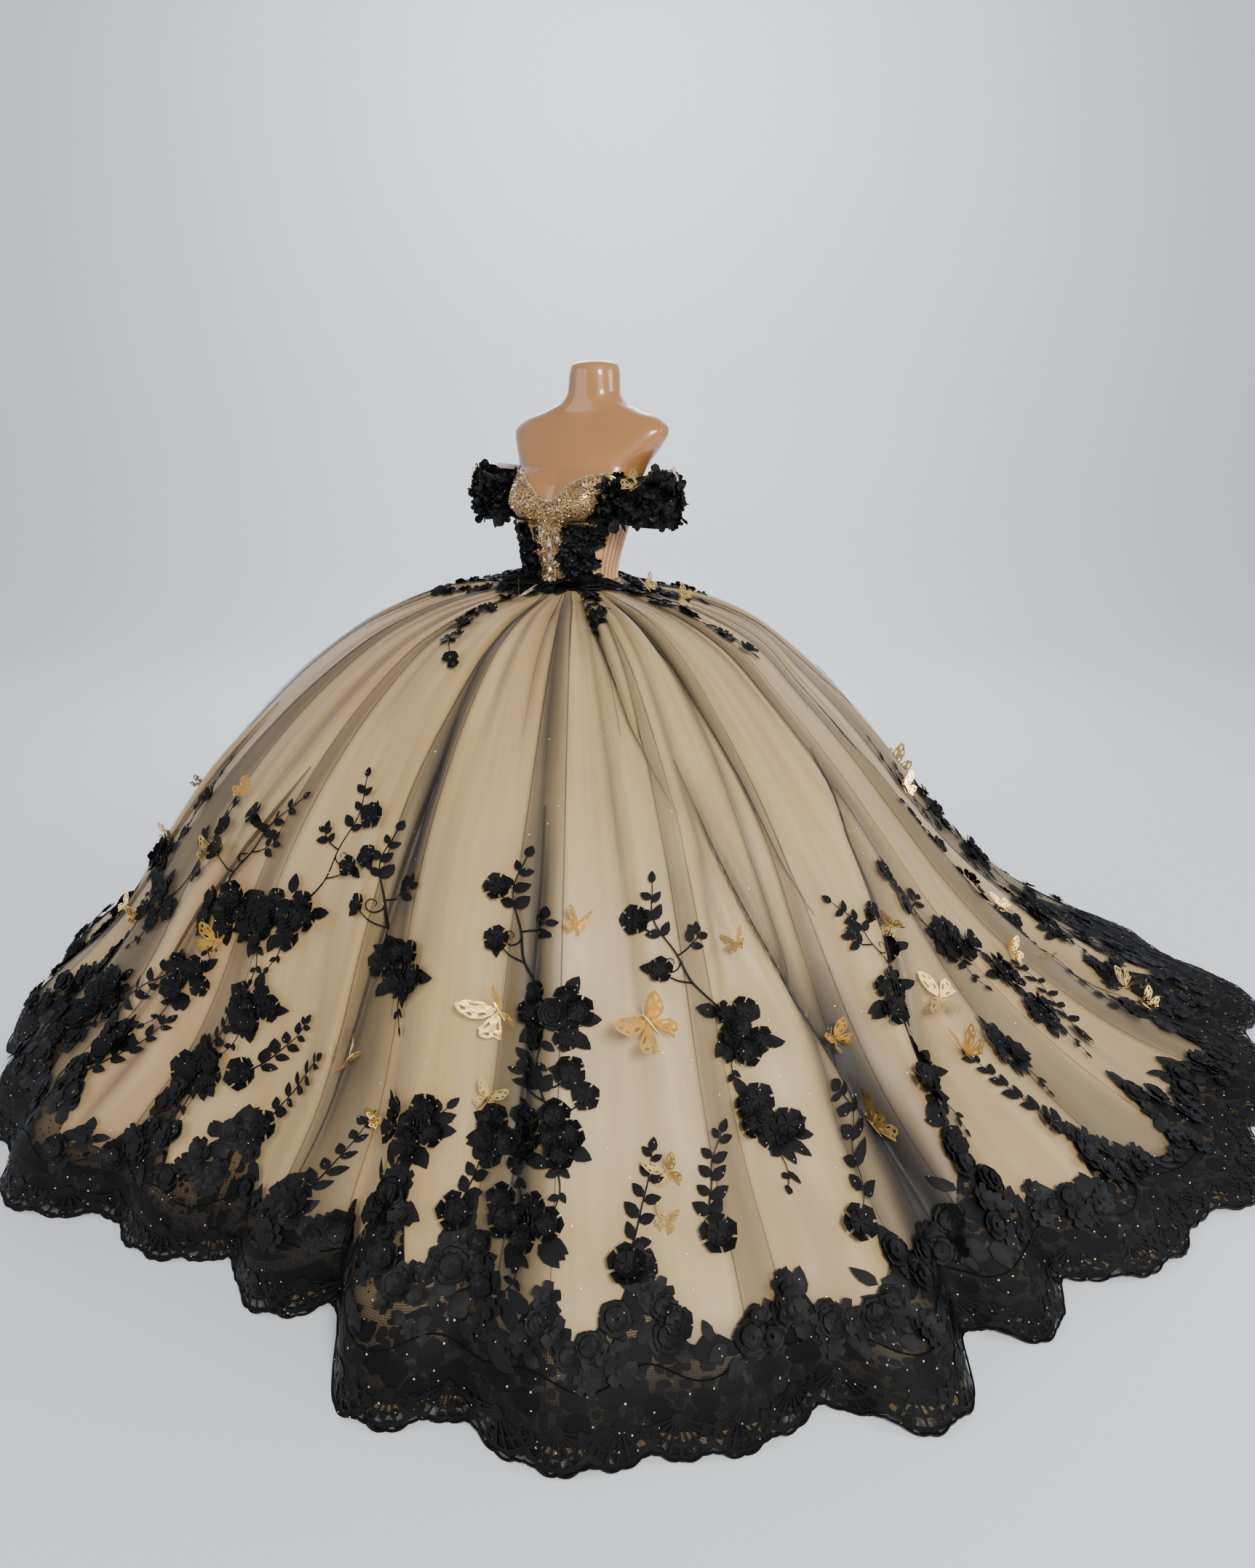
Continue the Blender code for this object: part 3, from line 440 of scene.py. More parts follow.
def pleat_waves(bearing, row, reach):
    """The small pleats' height over the surface, and each point's depth in a crease, for painted
    shade.
    """
    height = np.zeros_like(reach)
    crease = np.zeros_like(reach)
    for middle, lean, depth, end in zip(*pleat_table()):
        width = np.degrees((0.007 + 0.011 * reach) / reach)
        away = ((bearing - middle - lean * (row - 1) + 180) % 360 - 180) / width
        share = np.clip(row - 0.8, 0, 1) * np.clip((end - row) / 2.5, 0, 1) * depth
        groove = np.exp(-(away ** 2))
        height += share * (0.7 * np.exp(-((away - 1.7) ** 2) / 1.6) - groove)
        # Painted shade down each small pleat's groove.
        crease += share / 0.009 * (0.5 * groove + 0.7 * np.exp(-((away * 2.6) ** 2)))
    for depth, width, path in DRAPES:
        bearings, rows = np.array(path).T
        line = np.interp(row, rows, bearings)
        metres = np.radians((bearing - line + 180) % 360 - 180) * reach / width
        grown = np.clip((row - rows[0]) / 0.9, 0, 1) * np.clip((rows[-1] - row) / 1.5, 0, 1)
        fold = np.where(
            metres < 0, 0.9 * np.exp(-((metres + 1.0) ** 2) / 1.1),
                1.0 - 1.0 / (1 + np.exp(-9 * metres))
        )
        groove = np.exp(-((metres - 0.32) ** 2) / 0.09)
        height += depth * grown * (fold * (metres > -3) - 1.1 * groove)
        # Painted shade in each drape's groove and on its low side.
        crease += grown * depth / 0.016 * (0.9 * groove + 0.35 * np.exp(-((metres - 0.9)
            ** 2) / 0.7))
    return height, crease


def make_skirt_grid():
    bearing, row = np.meshgrid(GRID_BEARINGS, GRID_ROWS, indexing="ij")
    points = skirt_point(bearing, row)
    reach = np.hypot(points[..., 0], points[..., 1])
    height, crease = pleat_waves(bearing, row, reach)
    normals = grid_normals(points)
    points = points + normals * height[..., None]
    return points, grid_normals(points), crease


def grid_normals(points):
    round_it = np.roll(points, -1, axis=0) - np.roll(points, 1, axis=0)
    down = np.gradient(points, axis=1)
    normal = np.cross(down, round_it)
    return normal / np.linalg.norm(normal, axis=-1, keepdims=True)


def sampled(grid, bearing, row):
    """Values of a grid at any bearings and rows."""
    bearing, row = np.broadcast_arrays(np.asarray(bearing, float), np.asarray(row, float))
    a = ((bearing + 180) / GRID_STEP) % len(GRID_BEARINGS)
    b = np.clip(row * 10, 0, len(GRID_ROWS) - 1.0001)
    i, j = a.astype(int), b.astype(int)
    u, v = a - i, b - j
    i = i % len(GRID_BEARINGS)
    after = (i + 1) % len(GRID_BEARINGS)
    if grid.ndim == 3:
        u, v = u[..., None], v[..., None]
    low = grid[i, j] * (1 - u) + grid[after, j] * u
    high = grid[i, j + 1] * (1 - u) + grid[after, j + 1] * u
    return low * (1 - v) + high * v


SKIRT, SKIRT_NORMALS, SKIRT_CREASE = make_skirt_grid()
SLOPE = np.hypot(np.diff(column(SKIRT_SECTIONS, 1)), np.diff(column(SKIRT_SECTIONS, 0)))
UP_AT_ROW = SLOPE.sum() - np.concatenate([[0], np.cumsum(SLOPE)])
TRAIN_SLOPE = np.hypot(np.diff(column(SKIRT_SECTIONS, 3)), np.diff(column(SKIRT_SECTIONS, 2)))
TRAIN_UP_AT_ROW = TRAIN_SLOPE.sum() - np.concatenate([[0], np.cumsum(TRAIN_SLOPE)])


def train_share(bearing):
    hem = round_curve(HEM_OUTLINE, bearing)
    return np.clip((hem - HEM_RADIUS) / (TRAIN_RADIUS - HEM_RADIUS), 0, 1)


def row_at(bearing, up):
    """The row that lies a distance up the cloth from the satin's edge."""
    rows = np.arange(LAST_ROW + 1)[::-1]
    front = np.interp(up, UP_AT_ROW[::-1], rows)
    train = np.interp(up, TRAIN_UP_AT_ROW[::-1], rows)
    return front + (train - front) * train_share(bearing)


def up_at(bearing, row):
    rows = np.arange(LAST_ROW + 1)
    front, train = np.interp(row, rows, UP_AT_ROW), np.interp(row, rows, TRAIN_UP_AT_ROW)
    return front + (train - front) * train_share(bearing)


def on_skirt(bearing, up, out):
    """A point over the skirt; below the satin's edge it runs on to the floor."""
    bearing, up, out = np.broadcast_arrays(
        np.asarray(bearing, float), np.asarray(up, float), np.asarray(out, float)
    )
    row = row_at(bearing, np.maximum(up, 0))
    point = sampled(SKIRT, bearing, row)
    normal = sampled(SKIRT_NORMALS, bearing, row)
    point = point + normal * out[..., None]
    below = np.maximum(-up, 0)
    across, along = turned(bearing)
    flat = np.stack([across, along, 0 * across], axis=-1)
    slide = 0.45 + 0.4 * train_share(bearing)
    point = point + flat * (below * slide + 0.002 * (below > 0))[..., None]
    point[..., 2] -= below * 0.8
    point[..., 2] = np.maximum(point[..., 2], 0.0006)
    return point


# Meshes


def mesh_piece(name, points, faces, finish, smooth=True, values=None, uvs=None):
    """A piece whose place is in its mesh, with values kept as attributes of its points."""
    mesh = bpy.data.meshes.new(name)
    mesh.from_pydata(np.asarray(points).reshape(-1, 3).tolist(), [], faces)
    mesh.update()
    mesh.materials.append(finish)
    if smooth:
        mesh.polygons.foreach_set("use_smooth", np.ones(len(mesh.polygons), bool))
    for key, value in (values or {}).items():
        layer = mesh.attributes.new(key, "FLOAT", "POINT")
        layer.data.foreach_set("value", np.asarray(value, np.float32).ravel())
    if uvs is not None:
        layer = mesh.uv_layers.new(name="cloth")
        corner = np.empty(len(mesh.loops), np.int32)
        mesh.loops.foreach_get("vertex_index", corner)
        layer.data.foreach_set("uv", np.asarray(uvs, np.float32).reshape(-1, 2)[corner].ravel())
    made = bpy.data.objects.new(name, mesh)
    bpy.context.scene.collection.objects.link(made)
    return made


def quads(columns, rows, closed=False):
    """Quads of a grid numbered column * rows + row, facing out where rows run down."""
    last = columns if closed else columns - 1
    c, r = np.meshgrid(np.arange(last), np.arange(rows - 1), indexing="ij")
    after = (c + 1) % columns
    cells = np.stack([c * rows + r + 1, after * rows + r + 1, after * rows + r, c * rows + r], -1)
    return cells.reshape(-1, 4)


def shell_piece(name, outer, inner, columns, rows, finish, closed=False, values=None, flip=False):
    """A thin closed wall between two grids of points."""
    count = columns * rows
    front = quads(columns, rows, closed)
    back = front[:, ::-1] + count
    rims = []
    c = np.arange(columns if closed else columns - 1)
    after = (c + 1) % columns
    for r, turn in ((0, 1), (rows - 1, -1)):
        a, b = c * rows + r, after * rows + r
        rims.append(np.stack([a, b, b + count, a + count], -1)[:, ::turn])
    if not closed:
        r = np.arange(rows - 1)
        for base, turn in ((0, -1), ((columns - 1) * rows, 1)):
            a, b = base + r, base + r + 1
            rims.append(np.stack([a, b, b + count, a + count], -1)[:, ::turn])
    faces = np.concatenate([front, back, *rims])
    if flip:
        faces = faces[:, ::-1]
    points = np.concatenate([outer.reshape(-1, 3), inner.reshape(-1, 3)])
    doubled = {k: np.concatenate([np.ravel(v)] * 2) for k, v in (values or {}).items()}
    return mesh_piece(name, points, faces.tolist(), finish, values=doubled)


# Motifs as (points, faces), about one unit across, with x right, y up the cloth and z out


def motif_leaf():
    points = [
        (0, 0, 0), (0, 0.5, 0.10), (0, 1, 0), (0.26, 0.22, 0.02), (0.30, 0.52, 0.03),
        (0.17, 0.80, 0.02), (-0.26, 0.22, 0.02), (-0.30, 0.52, 0.03), (-0.17, 0.80, 0.02),
    ]
    faces = [(0, 3, 4, 1), (1, 4, 5, 2), (0, 1, 7, 6), (1, 2, 8, 7)]
    return np.array(points, float), faces


def motif_flower(petals=5, cup=0.16):
    """A flat flower with notched petals and a raised heart."""
    count = petals * 4
    angle = np.arange(count) * 2 * math.pi / count
    reach = 0.30 + 0.20 * np.abs(np.cos(petals * angle / 2)) ** 0.5
    reach = reach - 0.035 * (np.arange(count) % 4 == 0)
    rim = np.stack([reach * np.cos(angle), reach * np.sin(angle), cup * reach], -1)
    inner = np.arange(petals) * 2 * math.pi / petals + 0.5
    heart = np.stack([0.17 * np.cos(inner), 0.17 * np.sin(inner), 0.12 + 0 * inner], -1)
    points = np.concatenate([[(0, 0, 0.01)], rim, [(0, 0, 0.08)], heart])
    faces = [(0, 1 + k, 1 + (k + 1) % count) for k in range(count)]
    middle = count + 1
    faces += [(middle, middle + 1 + k, middle + 1 + (k + 1) % petals) for k in range(petals)]
    return points, faces


def motif_ruffle(cup):
    """Two layers of ruffled petals round a small heart."""
    points, faces = [], []
    for reach, lift, turn in ((1.0, 0.0, 0.0), (0.66, 0.10, 0.6)):
        for k in range(5):
            middle = turn + k * 2 * math.pi / 5
            base = len(points)
            points.append((0, 0, lift + 0.02))
            for r, spread in ((0.30, 0.50), (0.50, 0.56)):
                for step in (-1, 0, 1):
                    angle = middle + step * spread
                    far = reach * r * (1 + (0.10 if abs(step) < 0.5 and r > 0.4 else 0))
                    z = lift + cup * far * far + 0.04 * math.cos(9 * angle) * (r > 0.4)
                    points.append((far * math.cos(angle), far * math.sin(angle), z))
            faces += [(base, base + 1 + s, base + 2 + s) for s in range(2)]
            faces += [(base + 1 + s, base + 4 + s, base + 5 + s, base + 2 + s) for s in range(2)]
    return np.array(points), faces


ROSE_RINGS = [
    # petals, inner reach, outer reach, inner height, outer height, turn
    (7, 0.22, 0.50, 0.03, 0.07, 0.0),
    (6, 0.18, 0.40, 0.09, 0.15, 0.5),
    (5, 0.12, 0.29, 0.15, 0.21, 1.1),
    (3, 0.03, 0.17, 0.19, 0.26, 1.9),
]
SMALL_ROSE_RINGS = [(5, 0.16, 0.50, 0.04, 0.11, 0.0), (4, 0.08, 0.33, 0.12, 0.20, 0.7)]


def motif_rose(rings=ROSE_RINGS):
    """A rose of rings of curled petals round a bud; the small one has a third of the petals."""
    points, faces = [], []
    for petals, inner, outer, low, high, turn in rings:
        width = 2 * math.pi / petals * 0.62
        for k in range(petals):
            middle = turn + k * 2 * math.pi / petals
            base = len(points)
            for reach, z, spread in (
                (inner, low, 0.62), ((inner + outer) / 2, (low + high) / 2 - 0.01, 1.0),
                (outer, high, 0.72), (outer * 0.93, high + 0.03, 0.60),
            ):
                for step in (-1, 0, 1):
                    angle = middle + step * width * spread
                    bulge = 1 + 0.10 * (step == 0)
                    points.append((reach * bulge * math.cos(angle),
                        reach * bulge * math.sin(angle), z))
            for r in range(3):
                for s in range(2):
                    a = base + r * 3 + s
                    faces.append((a, a + 3, a + 4, a + 1))
    return np.array(points), faces


def motif_fan():
    """A fan of ribs under two bands, open towards the floor, with a lobed edge."""
    points, faces = [], []
    steps = 14
    spread = math.radians(84)

    def band(inner, outer, lobes, high):
        base = len(points)
        for k in range(steps + 1):
            angle = -spread + 2 * spread * k / steps
            edge = outer * (1 + lobes * (k % 2))
            for reach in (inner, edge):
                points.append((reach * math.sin(angle), -reach * math.cos(angle), high))
        for k in range(steps):
            a = base + 2 * k
            faces.append((a, a + 1, a + 3, a + 2))

    band(0.84, 0.95, 0.05, 0.02)
    band(0.58, 0.66, 0.0, 0.02)
    for k in range(9):
        angle = -spread + 2 * spread * (k + 0.5) / 9
        side = np.array([math.cos(angle), math.sin(angle), 0]) * 0.026
        way = np.array([math.sin(angle), -math.cos(angle), 0])
        base = len(points)
        for reach in (0.12, 0.86):
            for sign in (-1, 1):
                points.append(tuple(way * reach + side * sign * (0.6 + reach) + (0, 0, 0.03)))
        faces.append((base, base + 2, base + 3, base + 1))
    base = len(points)
    points.append((0, -0.06, 0.06))
    for k in range(8):
        angle = k * math.pi / 4
        points.append((0.17 * math.cos(angle), -0.06 + 0.17 * math.sin(angle), 0.02))
    faces += [(base, base + 1 + k, base + 1 + (k + 1) % 8) for k in range(8)]
    return np.array(points, float), faces


UPPER_WING = [
    (0.03, 0.08), (0.14, 0.34), (0.34, 0.56), (0.50, 0.62), (0.52, 0.50), (0.48, 0.36),
    (0.42, 0.20), (0.28, 0.07), (0.12, 0.02),
]
LOWER_WING = [
    (0.03, 0.02), (0.20, 0.00), (0.38, -0.04), (0.44, -0.18), (0.36, -0.32), (0.26, -0.36),
    (0.20, -0.50), (0.12, -0.34), (0.04, -0.14),
]


def motif_butterfly(lift=26.0):
    """Foil wings with cut-out cells, raised from a slim body."""
    points, faces = [], []
    rise = math.tan(math.radians(lift))
    for side in (1, -1):
        for outline in (UPPER_WING, LOWER_WING):
            edge = np.array(outline)
            middle = edge.mean(axis=0)
            base = len(points)
            count = len(edge)
            for scale in (1.0, 0.74, 0.46):
                for x, y in middle + (edge - middle) * scale:
                    points.append((side * x, y, x * rise))
            points.append((side * middle[0], middle[1], middle[0] * rise))
            for k in range(count):
                after = (k + 1) % count
                ring = [base + k, base + after, base + count + after, base + count + k]
                cell = [x + count for x in ring]
                drawn = [ring]
                if k % 2 == 0:
                    drawn.append(cell)
                drawn.append([base + 2 * count + k, base + 2 * count + after, base + 3 * count])
                faces += [face if side < 0 else face[::-1] for face in drawn]
    base = len(points)
    for y, width in ((-0.30, 0.010), (-0.05, 0.026), (0.12, 0.030), (0.22, 0.012)):
        points += [(-width, y, 0.01), (0, y, 0.01 + width), (width, y, 0.01)]
    for r in range(3):
        a = base + 3 * r
        faces += [(a, a + 1, a + 4, a + 3), (a + 1, a + 2, a + 5, a + 4)]
    for side in (1, -1):
        base = len(points)
        points += [
            (side * 0.01, 0.20, 0.02), (side * 0.03, 0.20, 0.02), (side * 0.15, 0.40, 0.09),
            (side * 0.135, 0.41, 0.09),
        ]
        faces.append((base, base + 1, base + 2, base + 3)[::side])
    return np.array(points, float), faces


def motif_bead(height=0.5):
    """A faceted bead that sits on its girdle."""
    angle = np.arange(6) * math.pi / 3
    girdle = np.stack([0.5 * np.cos(angle), 0.5 * np.sin(angle), 0 * angle], -1)
    table = np.stack([0.27 * np.cos(angle), 0.27 * np.sin(angle), height + 0 * angle], -1)
    points = np.concatenate([girdle, table])
    faces = [(k, (k + 1) % 6, 6 + (k + 1) % 6, 6 + k) for k in range(6)]
    faces += [tuple(6 + k for k in range(6)), tuple(5 - k for k in range(6))]
    return points, faces


def motif_drop():
    """A pear-shaped cut stone in a claw rim."""
    outline = [
        (0, 0.62), (0.16, 0.36), (0.28, 0.08), (0.26, -0.18), (0.13, -0.34), (0, -0.38),
        (-0.13, -0.34), (-0.26, -0.18), (-0.28, 0.08), (-0.16, 0.36),
    ]
    edge = np.array([(x, y, 0.04) for x, y in outline])
    waist = np.array([(x * 0.88, y * 0.88, 0.16) for x, y in outline])
    table = np.array([(x * 0.5, y * 0.5, 0.26) for x, y in outline])
    points = np.concatenate([edge, waist, table, [(0, 0, 0.27)]])
    n = len(outline)
    faces = []
    for k in range(n):
        after = (k + 1) % n
        faces.append((after, k, n + k, n + after))
        faces.append((n + after, n + k, 2 * n + k, 2 * n + after))
        faces.append((2 * n + after, 2 * n + k, 3 * n))
    return points, faces


def motif_petal():
    """A ruffled petal that stands up from its foot."""
    points = [
        (-0.10, 0, 0), (0.10, 0, 0), (-0.34, 0.34, 0.16), (0, 0.36, 0.08), (0.34, 0.34, 0.14),
        (-0.42, 0.68, 0.26), (-0.14, 0.74, 0.14), (0.18, 0.72, 0.22), (0.44, 0.66, 0.30),
        (-0.22, 0.94, 0.36), (0.06, 0.98, 0.24), (0.30, 0.90, 0.38),
    ]
    faces = [
        (0, 1, 3), (0, 3, 2), (1, 4, 3), (2, 3, 6, 5), (3, 4, 8, 7), (3, 7, 6), (5, 6, 10, 9),
        (6, 7, 10), (7, 8, 11, 10),
    ]
    return np.array(points, float), faces


# Placing motifs


def conformed(motif, places, out, thick=1.0):
    """Points and faces of a motif laid on the skirt at (bearing, up, turn, size) rows."""
    points, faces = motif
    places = np.asarray(places, float)
    bearing, up, turn, size = places.T
    c, s = np.cos(np.radians(turn)), np.sin(np.radians(turn))
    x = (points[None, :, 0] * c[:, None] - points[None, :, 1] * s[:, None]) * size[:, None]
    y = (points[None, :, 0] * s[:, None] + points[None, :, 1] * c[:, None]) * size[:, None]
    z = points[None, :, 2] * size[:, None] * thick
    base = sampled(SKIRT, bearing, row_at(bearing, np.maximum(up, 0)))
    reach = np.hypot(base[:, 0], base[:, 1])[:, None]
    around = bearing[:, None] + np.degrees(x / reach)
    spots = on_skirt(around, up[:, None] + y, np.asarray(out) + z)
    count = len(points)
    made = []
    for k in range(len(places)):
        made += [[k * count + i for i in face] for face in faces]
    return spots.reshape(-1, 3), made


def joined(groups):
    """One list of points and faces from several."""
    points, faces, start = [], [], 0
    for group_points, group_faces in groups:
        points.append(group_points)
        faces += [[start + i for i in face] for face in group_faces]
        start += len(group_points)
    return np.concatenate(points), faces


def ribbon(path, width, out):
    """A narrow strip along (bearing, up) rows, on the skirt."""
    path = np.asarray(path, float)
    point = sampled(SKIRT, path[:, 0], row_at(path[:, 0], np.maximum(path[:, 1], 0)))
    reach = np.hypot(point[:, 0], point[:, 1])
    flat = np.stack([np.radians(path[:, 0]) * reach, path[:, 1]], -1)
    way = np.gradient(flat, axis=0)
    way /= np.linalg.norm(way, axis=1, keepdims=True) + 1e-9
    side = np.stack([-way[:, 1], way[:, 0]], -1)
    taper = np.linspace(1, 0.45, len(path)) * width / 2
    edges = []
    for sign in (-1, 1):
        bearing = path[:, 0] + np.degrees(side[:, 0] * sign * taper / reach)
        edges.append(on_skirt(bearing, path[:, 1] + side[:, 1] * sign * taper, out))
    crown = on_skirt(path[:, 0], path[:, 1], out + width * 0.4)
    count = len(path)
    points = np.concatenate([edges[0], crown, edges[1]])
    faces = []
    for k in range(count - 1):
        for base in (0, count):
            faces.append([base + k, base + k + 1, base + count + k + 1, base + count + k][::-1])
    return points, faces


def scatter_tree(name, finish):
    """Instances of a collection's motifs on points that carry their own turn and size."""
    tree = bpy.data.node_groups.new(name, "GeometryNodeTree")
    face = tree.interface
    face.new_socket("Geometry", in_out="INPUT", socket_type="NodeSocketGeometry")
    motifs = face.new_socket("Motifs", in_out="INPUT", socket_type="NodeSocketCollection")
    size = face.new_socket("Size", in_out="INPUT", socket_type="NodeSocketFloat")
    seed = face.new_socket("Seed", in_out="INPUT", socket_type="NodeSocketInt")
    face.new_socket("Geometry", in_out="OUTPUT", socket_type="NodeSocketGeometry")
    nodes = tree.nodes
    start, end = nodes.new("NodeGroupInput"), nodes.new("NodeGroupOutput")
    info = nodes.new("GeometryNodeCollectionInfo")
    info.inputs["Separate Children"].default_value = True
    info.inputs["Reset Children"].default_value = True
    place = nodes.new("GeometryNodeInstanceOnPoints")
    place.inputs["Pick Instance"].default_value = True
    turn = nodes.new("GeometryNodeInputNamedAttribute")
    turn.data_type = "FLOAT_VECTOR"
    turn.inputs["Name"].default_value = "turn"
    to_rotation = nodes.new("FunctionNodeEulerToRotation")
    own = nodes.new("GeometryNodeInputNamedAttribute")
    own.data_type = "FLOAT"
    own.inputs["Name"].default_value = "size"
    scale = nodes.new("ShaderNodeMath")
    scale.operation = "MULTIPLY"
    pick = nodes.new("FunctionNodeRandomValue")
    pick.data_type = "INT"
    pick.inputs[5].default_value = 99
    real = nodes.new("GeometryNodeRealizeInstances")
    paint = nodes.new("GeometryNodeSetMaterial")
    paint.inputs["Material"].default_value = finish
    for source, output, target, entry in (
        (start, "Geometry", place, "Points"), (start, "Motifs", info, "Collection"),
        (info, "Instances", place, "Instance"), (start, "Seed", pick, "Seed"),
        (pick, 2, place, "Instance Index"), (turn, "Attribute", to_rotation, "Euler"),
        (to_rotation, "Rotation", place, "Rotation"), (own, "Attribute", scale, 0),
        (start, "Size", scale, 1), (scale, "Value", place, "Scale"),
        (place, "Instances", real, "Geometry"), (real, "Geometry", paint, "Geometry"),
        (paint, "Geometry", end, "Geometry"),
    ):
        tree.links.new(source.outputs[output], target.inputs[entry])
    return tree, motifs.identifier, size.identifier, seed.identifier


def scattered(name, points, normals, ups, turns, sizes, motifs, finish, seed=3):
    """Motifs set on points by Geometry Nodes, as one plain mesh."""
    rng = np.random.default_rng(seed)
    normals = normals / np.linalg.norm(normals, axis=1, keepdims=True)
    ups = ups - normals * (ups * normals).sum(1, keepdims=True)
    ups /= np.linalg.norm(ups, axis=1, keepdims=True)
    eulers = []
    for normal, up, turn in zip(normals, ups, np.broadcast_to(turns, len(points))):
        right = np.cross(up, normal)
        basis = Matrix((right, up, normal)).transposed()
        eulers.append(tuple((basis @ Matrix.Rotation(math.radians(turn), 3, "Z")).to_euler()))
    mesh = bpy.data.meshes.new(name)
    mesh.from_pydata([tuple(p) for p in points], [], [])
    mesh.attributes.new("turn", "FLOAT_VECTOR", "POINT").data.foreach_set(
        "vector", np.array(eulers, np.float32).ravel()
    )
    mesh.attributes.new("size", "FLOAT", "POINT").data.foreach_set(
        "value", np.broadcast_to(sizes, len(points)).astype(np.float32)
    )
    host = bpy.data.objects.new(name, mesh)
    bpy.context.scene.collection.objects.link(host)
    box = bpy.data.collections.new(f"{name}_motifs")
    for index, (motif_points, motif_faces) in enumerate(motifs):
        motif_mesh = bpy.data.meshes.new(f"{name}_motif_{index}")
        motif_mesh.from_pydata(motif_points.tolist(), [], [list(f) for f in motif_faces])
        box.objects.link(bpy.data.objects.new(motif_mesh.name, motif_mesh))
    tree, motifs_id, size_id, seed_id = scatter_tree(name, finish)
    modifier = host.modifiers.new("scatter", "NODES")
    modifier.node_group = tree
    modifier[motifs_id] = box
    modifier[size_id] = 1.0
    modifier[seed_id] = int(rng.integers(1, 99))
    ready = host.evaluated_get(bpy.context.evaluated_depsgraph_get())
    plain = bpy.data.meshes.new_from_object(ready)
    made = bpy.data.objects.new(name, plain)
    bpy.data.objects.remove(host)
    for motif in list(box.objects):
        bpy.data.objects.remove(motif)
    bpy.data.collections.remove(box)
    made.name = name
    if not plain.materials:
        plain.materials.append(finish)
    bpy.context.scene.collection.objects.link(made)
    return made


# Materials


def finish_of(name, **sockets):
    made = bpy.data.materials.new(name)
    made.use_nodes = True
    shader = made.node_tree.nodes["Principled BSDF"]
    for key, value in sockets.items():
        shader.inputs[key.replace("_", " ")].default_value = value
    return made, made.node_tree, shader


def node(tree, kind, inputs=None, **settings):
    made = tree.nodes.new(kind)
    for key, value in settings.items():
        setattr(made, key, value)
    for key, value in (inputs or {}).items():
        if isinstance(value, bpy.types.NodeSocket):
            tree.links.new(value, made.inputs[key])
        else:
            made.inputs[key].default_value = value
    return made


def effect(name, inputs, outputs, build):
    """A shader group with named inputs and outputs, filled in by build."""
    tree = bpy.data.node_groups.new(name, "ShaderNodeTree")
    for key, kind, value in inputs:
        socket = tree.interface.new_socket(key, in_out="INPUT", socket_type=f"NodeSocket{kind}")
        socket.default_value = value
    for key, kind in outputs:
        tree.interface.new_socket(key, in_out="OUTPUT", socket_type=f"NodeSocket{kind}")
    start, end = tree.nodes.new("NodeGroupInput"), tree.nodes.new("NodeGroupOutput")
    build(tree, start.outputs, end.inputs)
    return tree


def math_node(tree, operation, a, b=0.0, clamp=False):
    made = tree.nodes.new("ShaderNodeMath")
    made.operation = operation
    made.use_clamp = clamp
    for index, value in enumerate((a, b)):
        if isinstance(value, bpy.types.NodeSocket):
            tree.links.new(value, made.inputs[index])
        else:
            made.inputs[index].default_value = value
    return made.outputs[0]


def product(tree, a, b, clamp=False):
    return math_node(tree, "MULTIPLY", a, b, clamp)


def mixed(tree, factor, a, b, blend="MIX"):
    made = tree.nodes.new("ShaderNodeMix")
    made.data_type = "RGBA"
    made.blend_type = blend
    for index, value in ((0, factor), (6, a), (7, b)):
        if isinstance(value, bpy.types.NodeSocket):
            tree.links.new(value, made.inputs[index])
        elif index and len(value) == 3:
            made.inputs[index].default_value = (*value, 1)
        else:
            made.inputs[index].default_value = value
    return made.outputs[2]


def build_weave(tree, given, made):
    """Fine crossed threads in object space, with slow unevenness."""
    place = node(tree, "ShaderNodeTexCoord").outputs["Object"]
    waves = []
    for direction in ("X", "Y", "Z"):
        wave = node(
            tree, "ShaderNodeTexWave", {"Vector": place, "Scale": given["Threads"]},
            bands_direction=direction,
        )
        waves.append(wave.outputs["Fac"])
    crossed = product(tree, waves[0], waves[2])
    crossed = math_node(tree, "MAXIMUM", crossed, waves[1])
    slow = node(
        tree, "ShaderNodeTexNoise", {"Vector": place, "Scale": given["Patch"], "Detail": 4.0}
    ).outputs["Fac"]
    tree.links.new(crossed, made["Threads"])
    tree.links.new(slow, made["Unevenness"])


def build_net(tree, given, made):
    """Hexagonal net on the piece's own cloth coordinates, one where there is thread."""
    place = node(tree, "ShaderNodeUVMap", uv_map="cloth").outputs["UV"]
    cell = node(
        tree, "ShaderNodeTexVoronoi", {"Vector": place, "Scale": given["Cells"],
            "Randomness": 0.25},
        feature="DISTANCE_TO_EDGE", voronoi_dimensions="2D",
    ).outputs["Distance"]
    thread = math_node(tree, "LESS_THAN", cell, given["Thread"])
    tree.links.new(thread, made["Thread"])


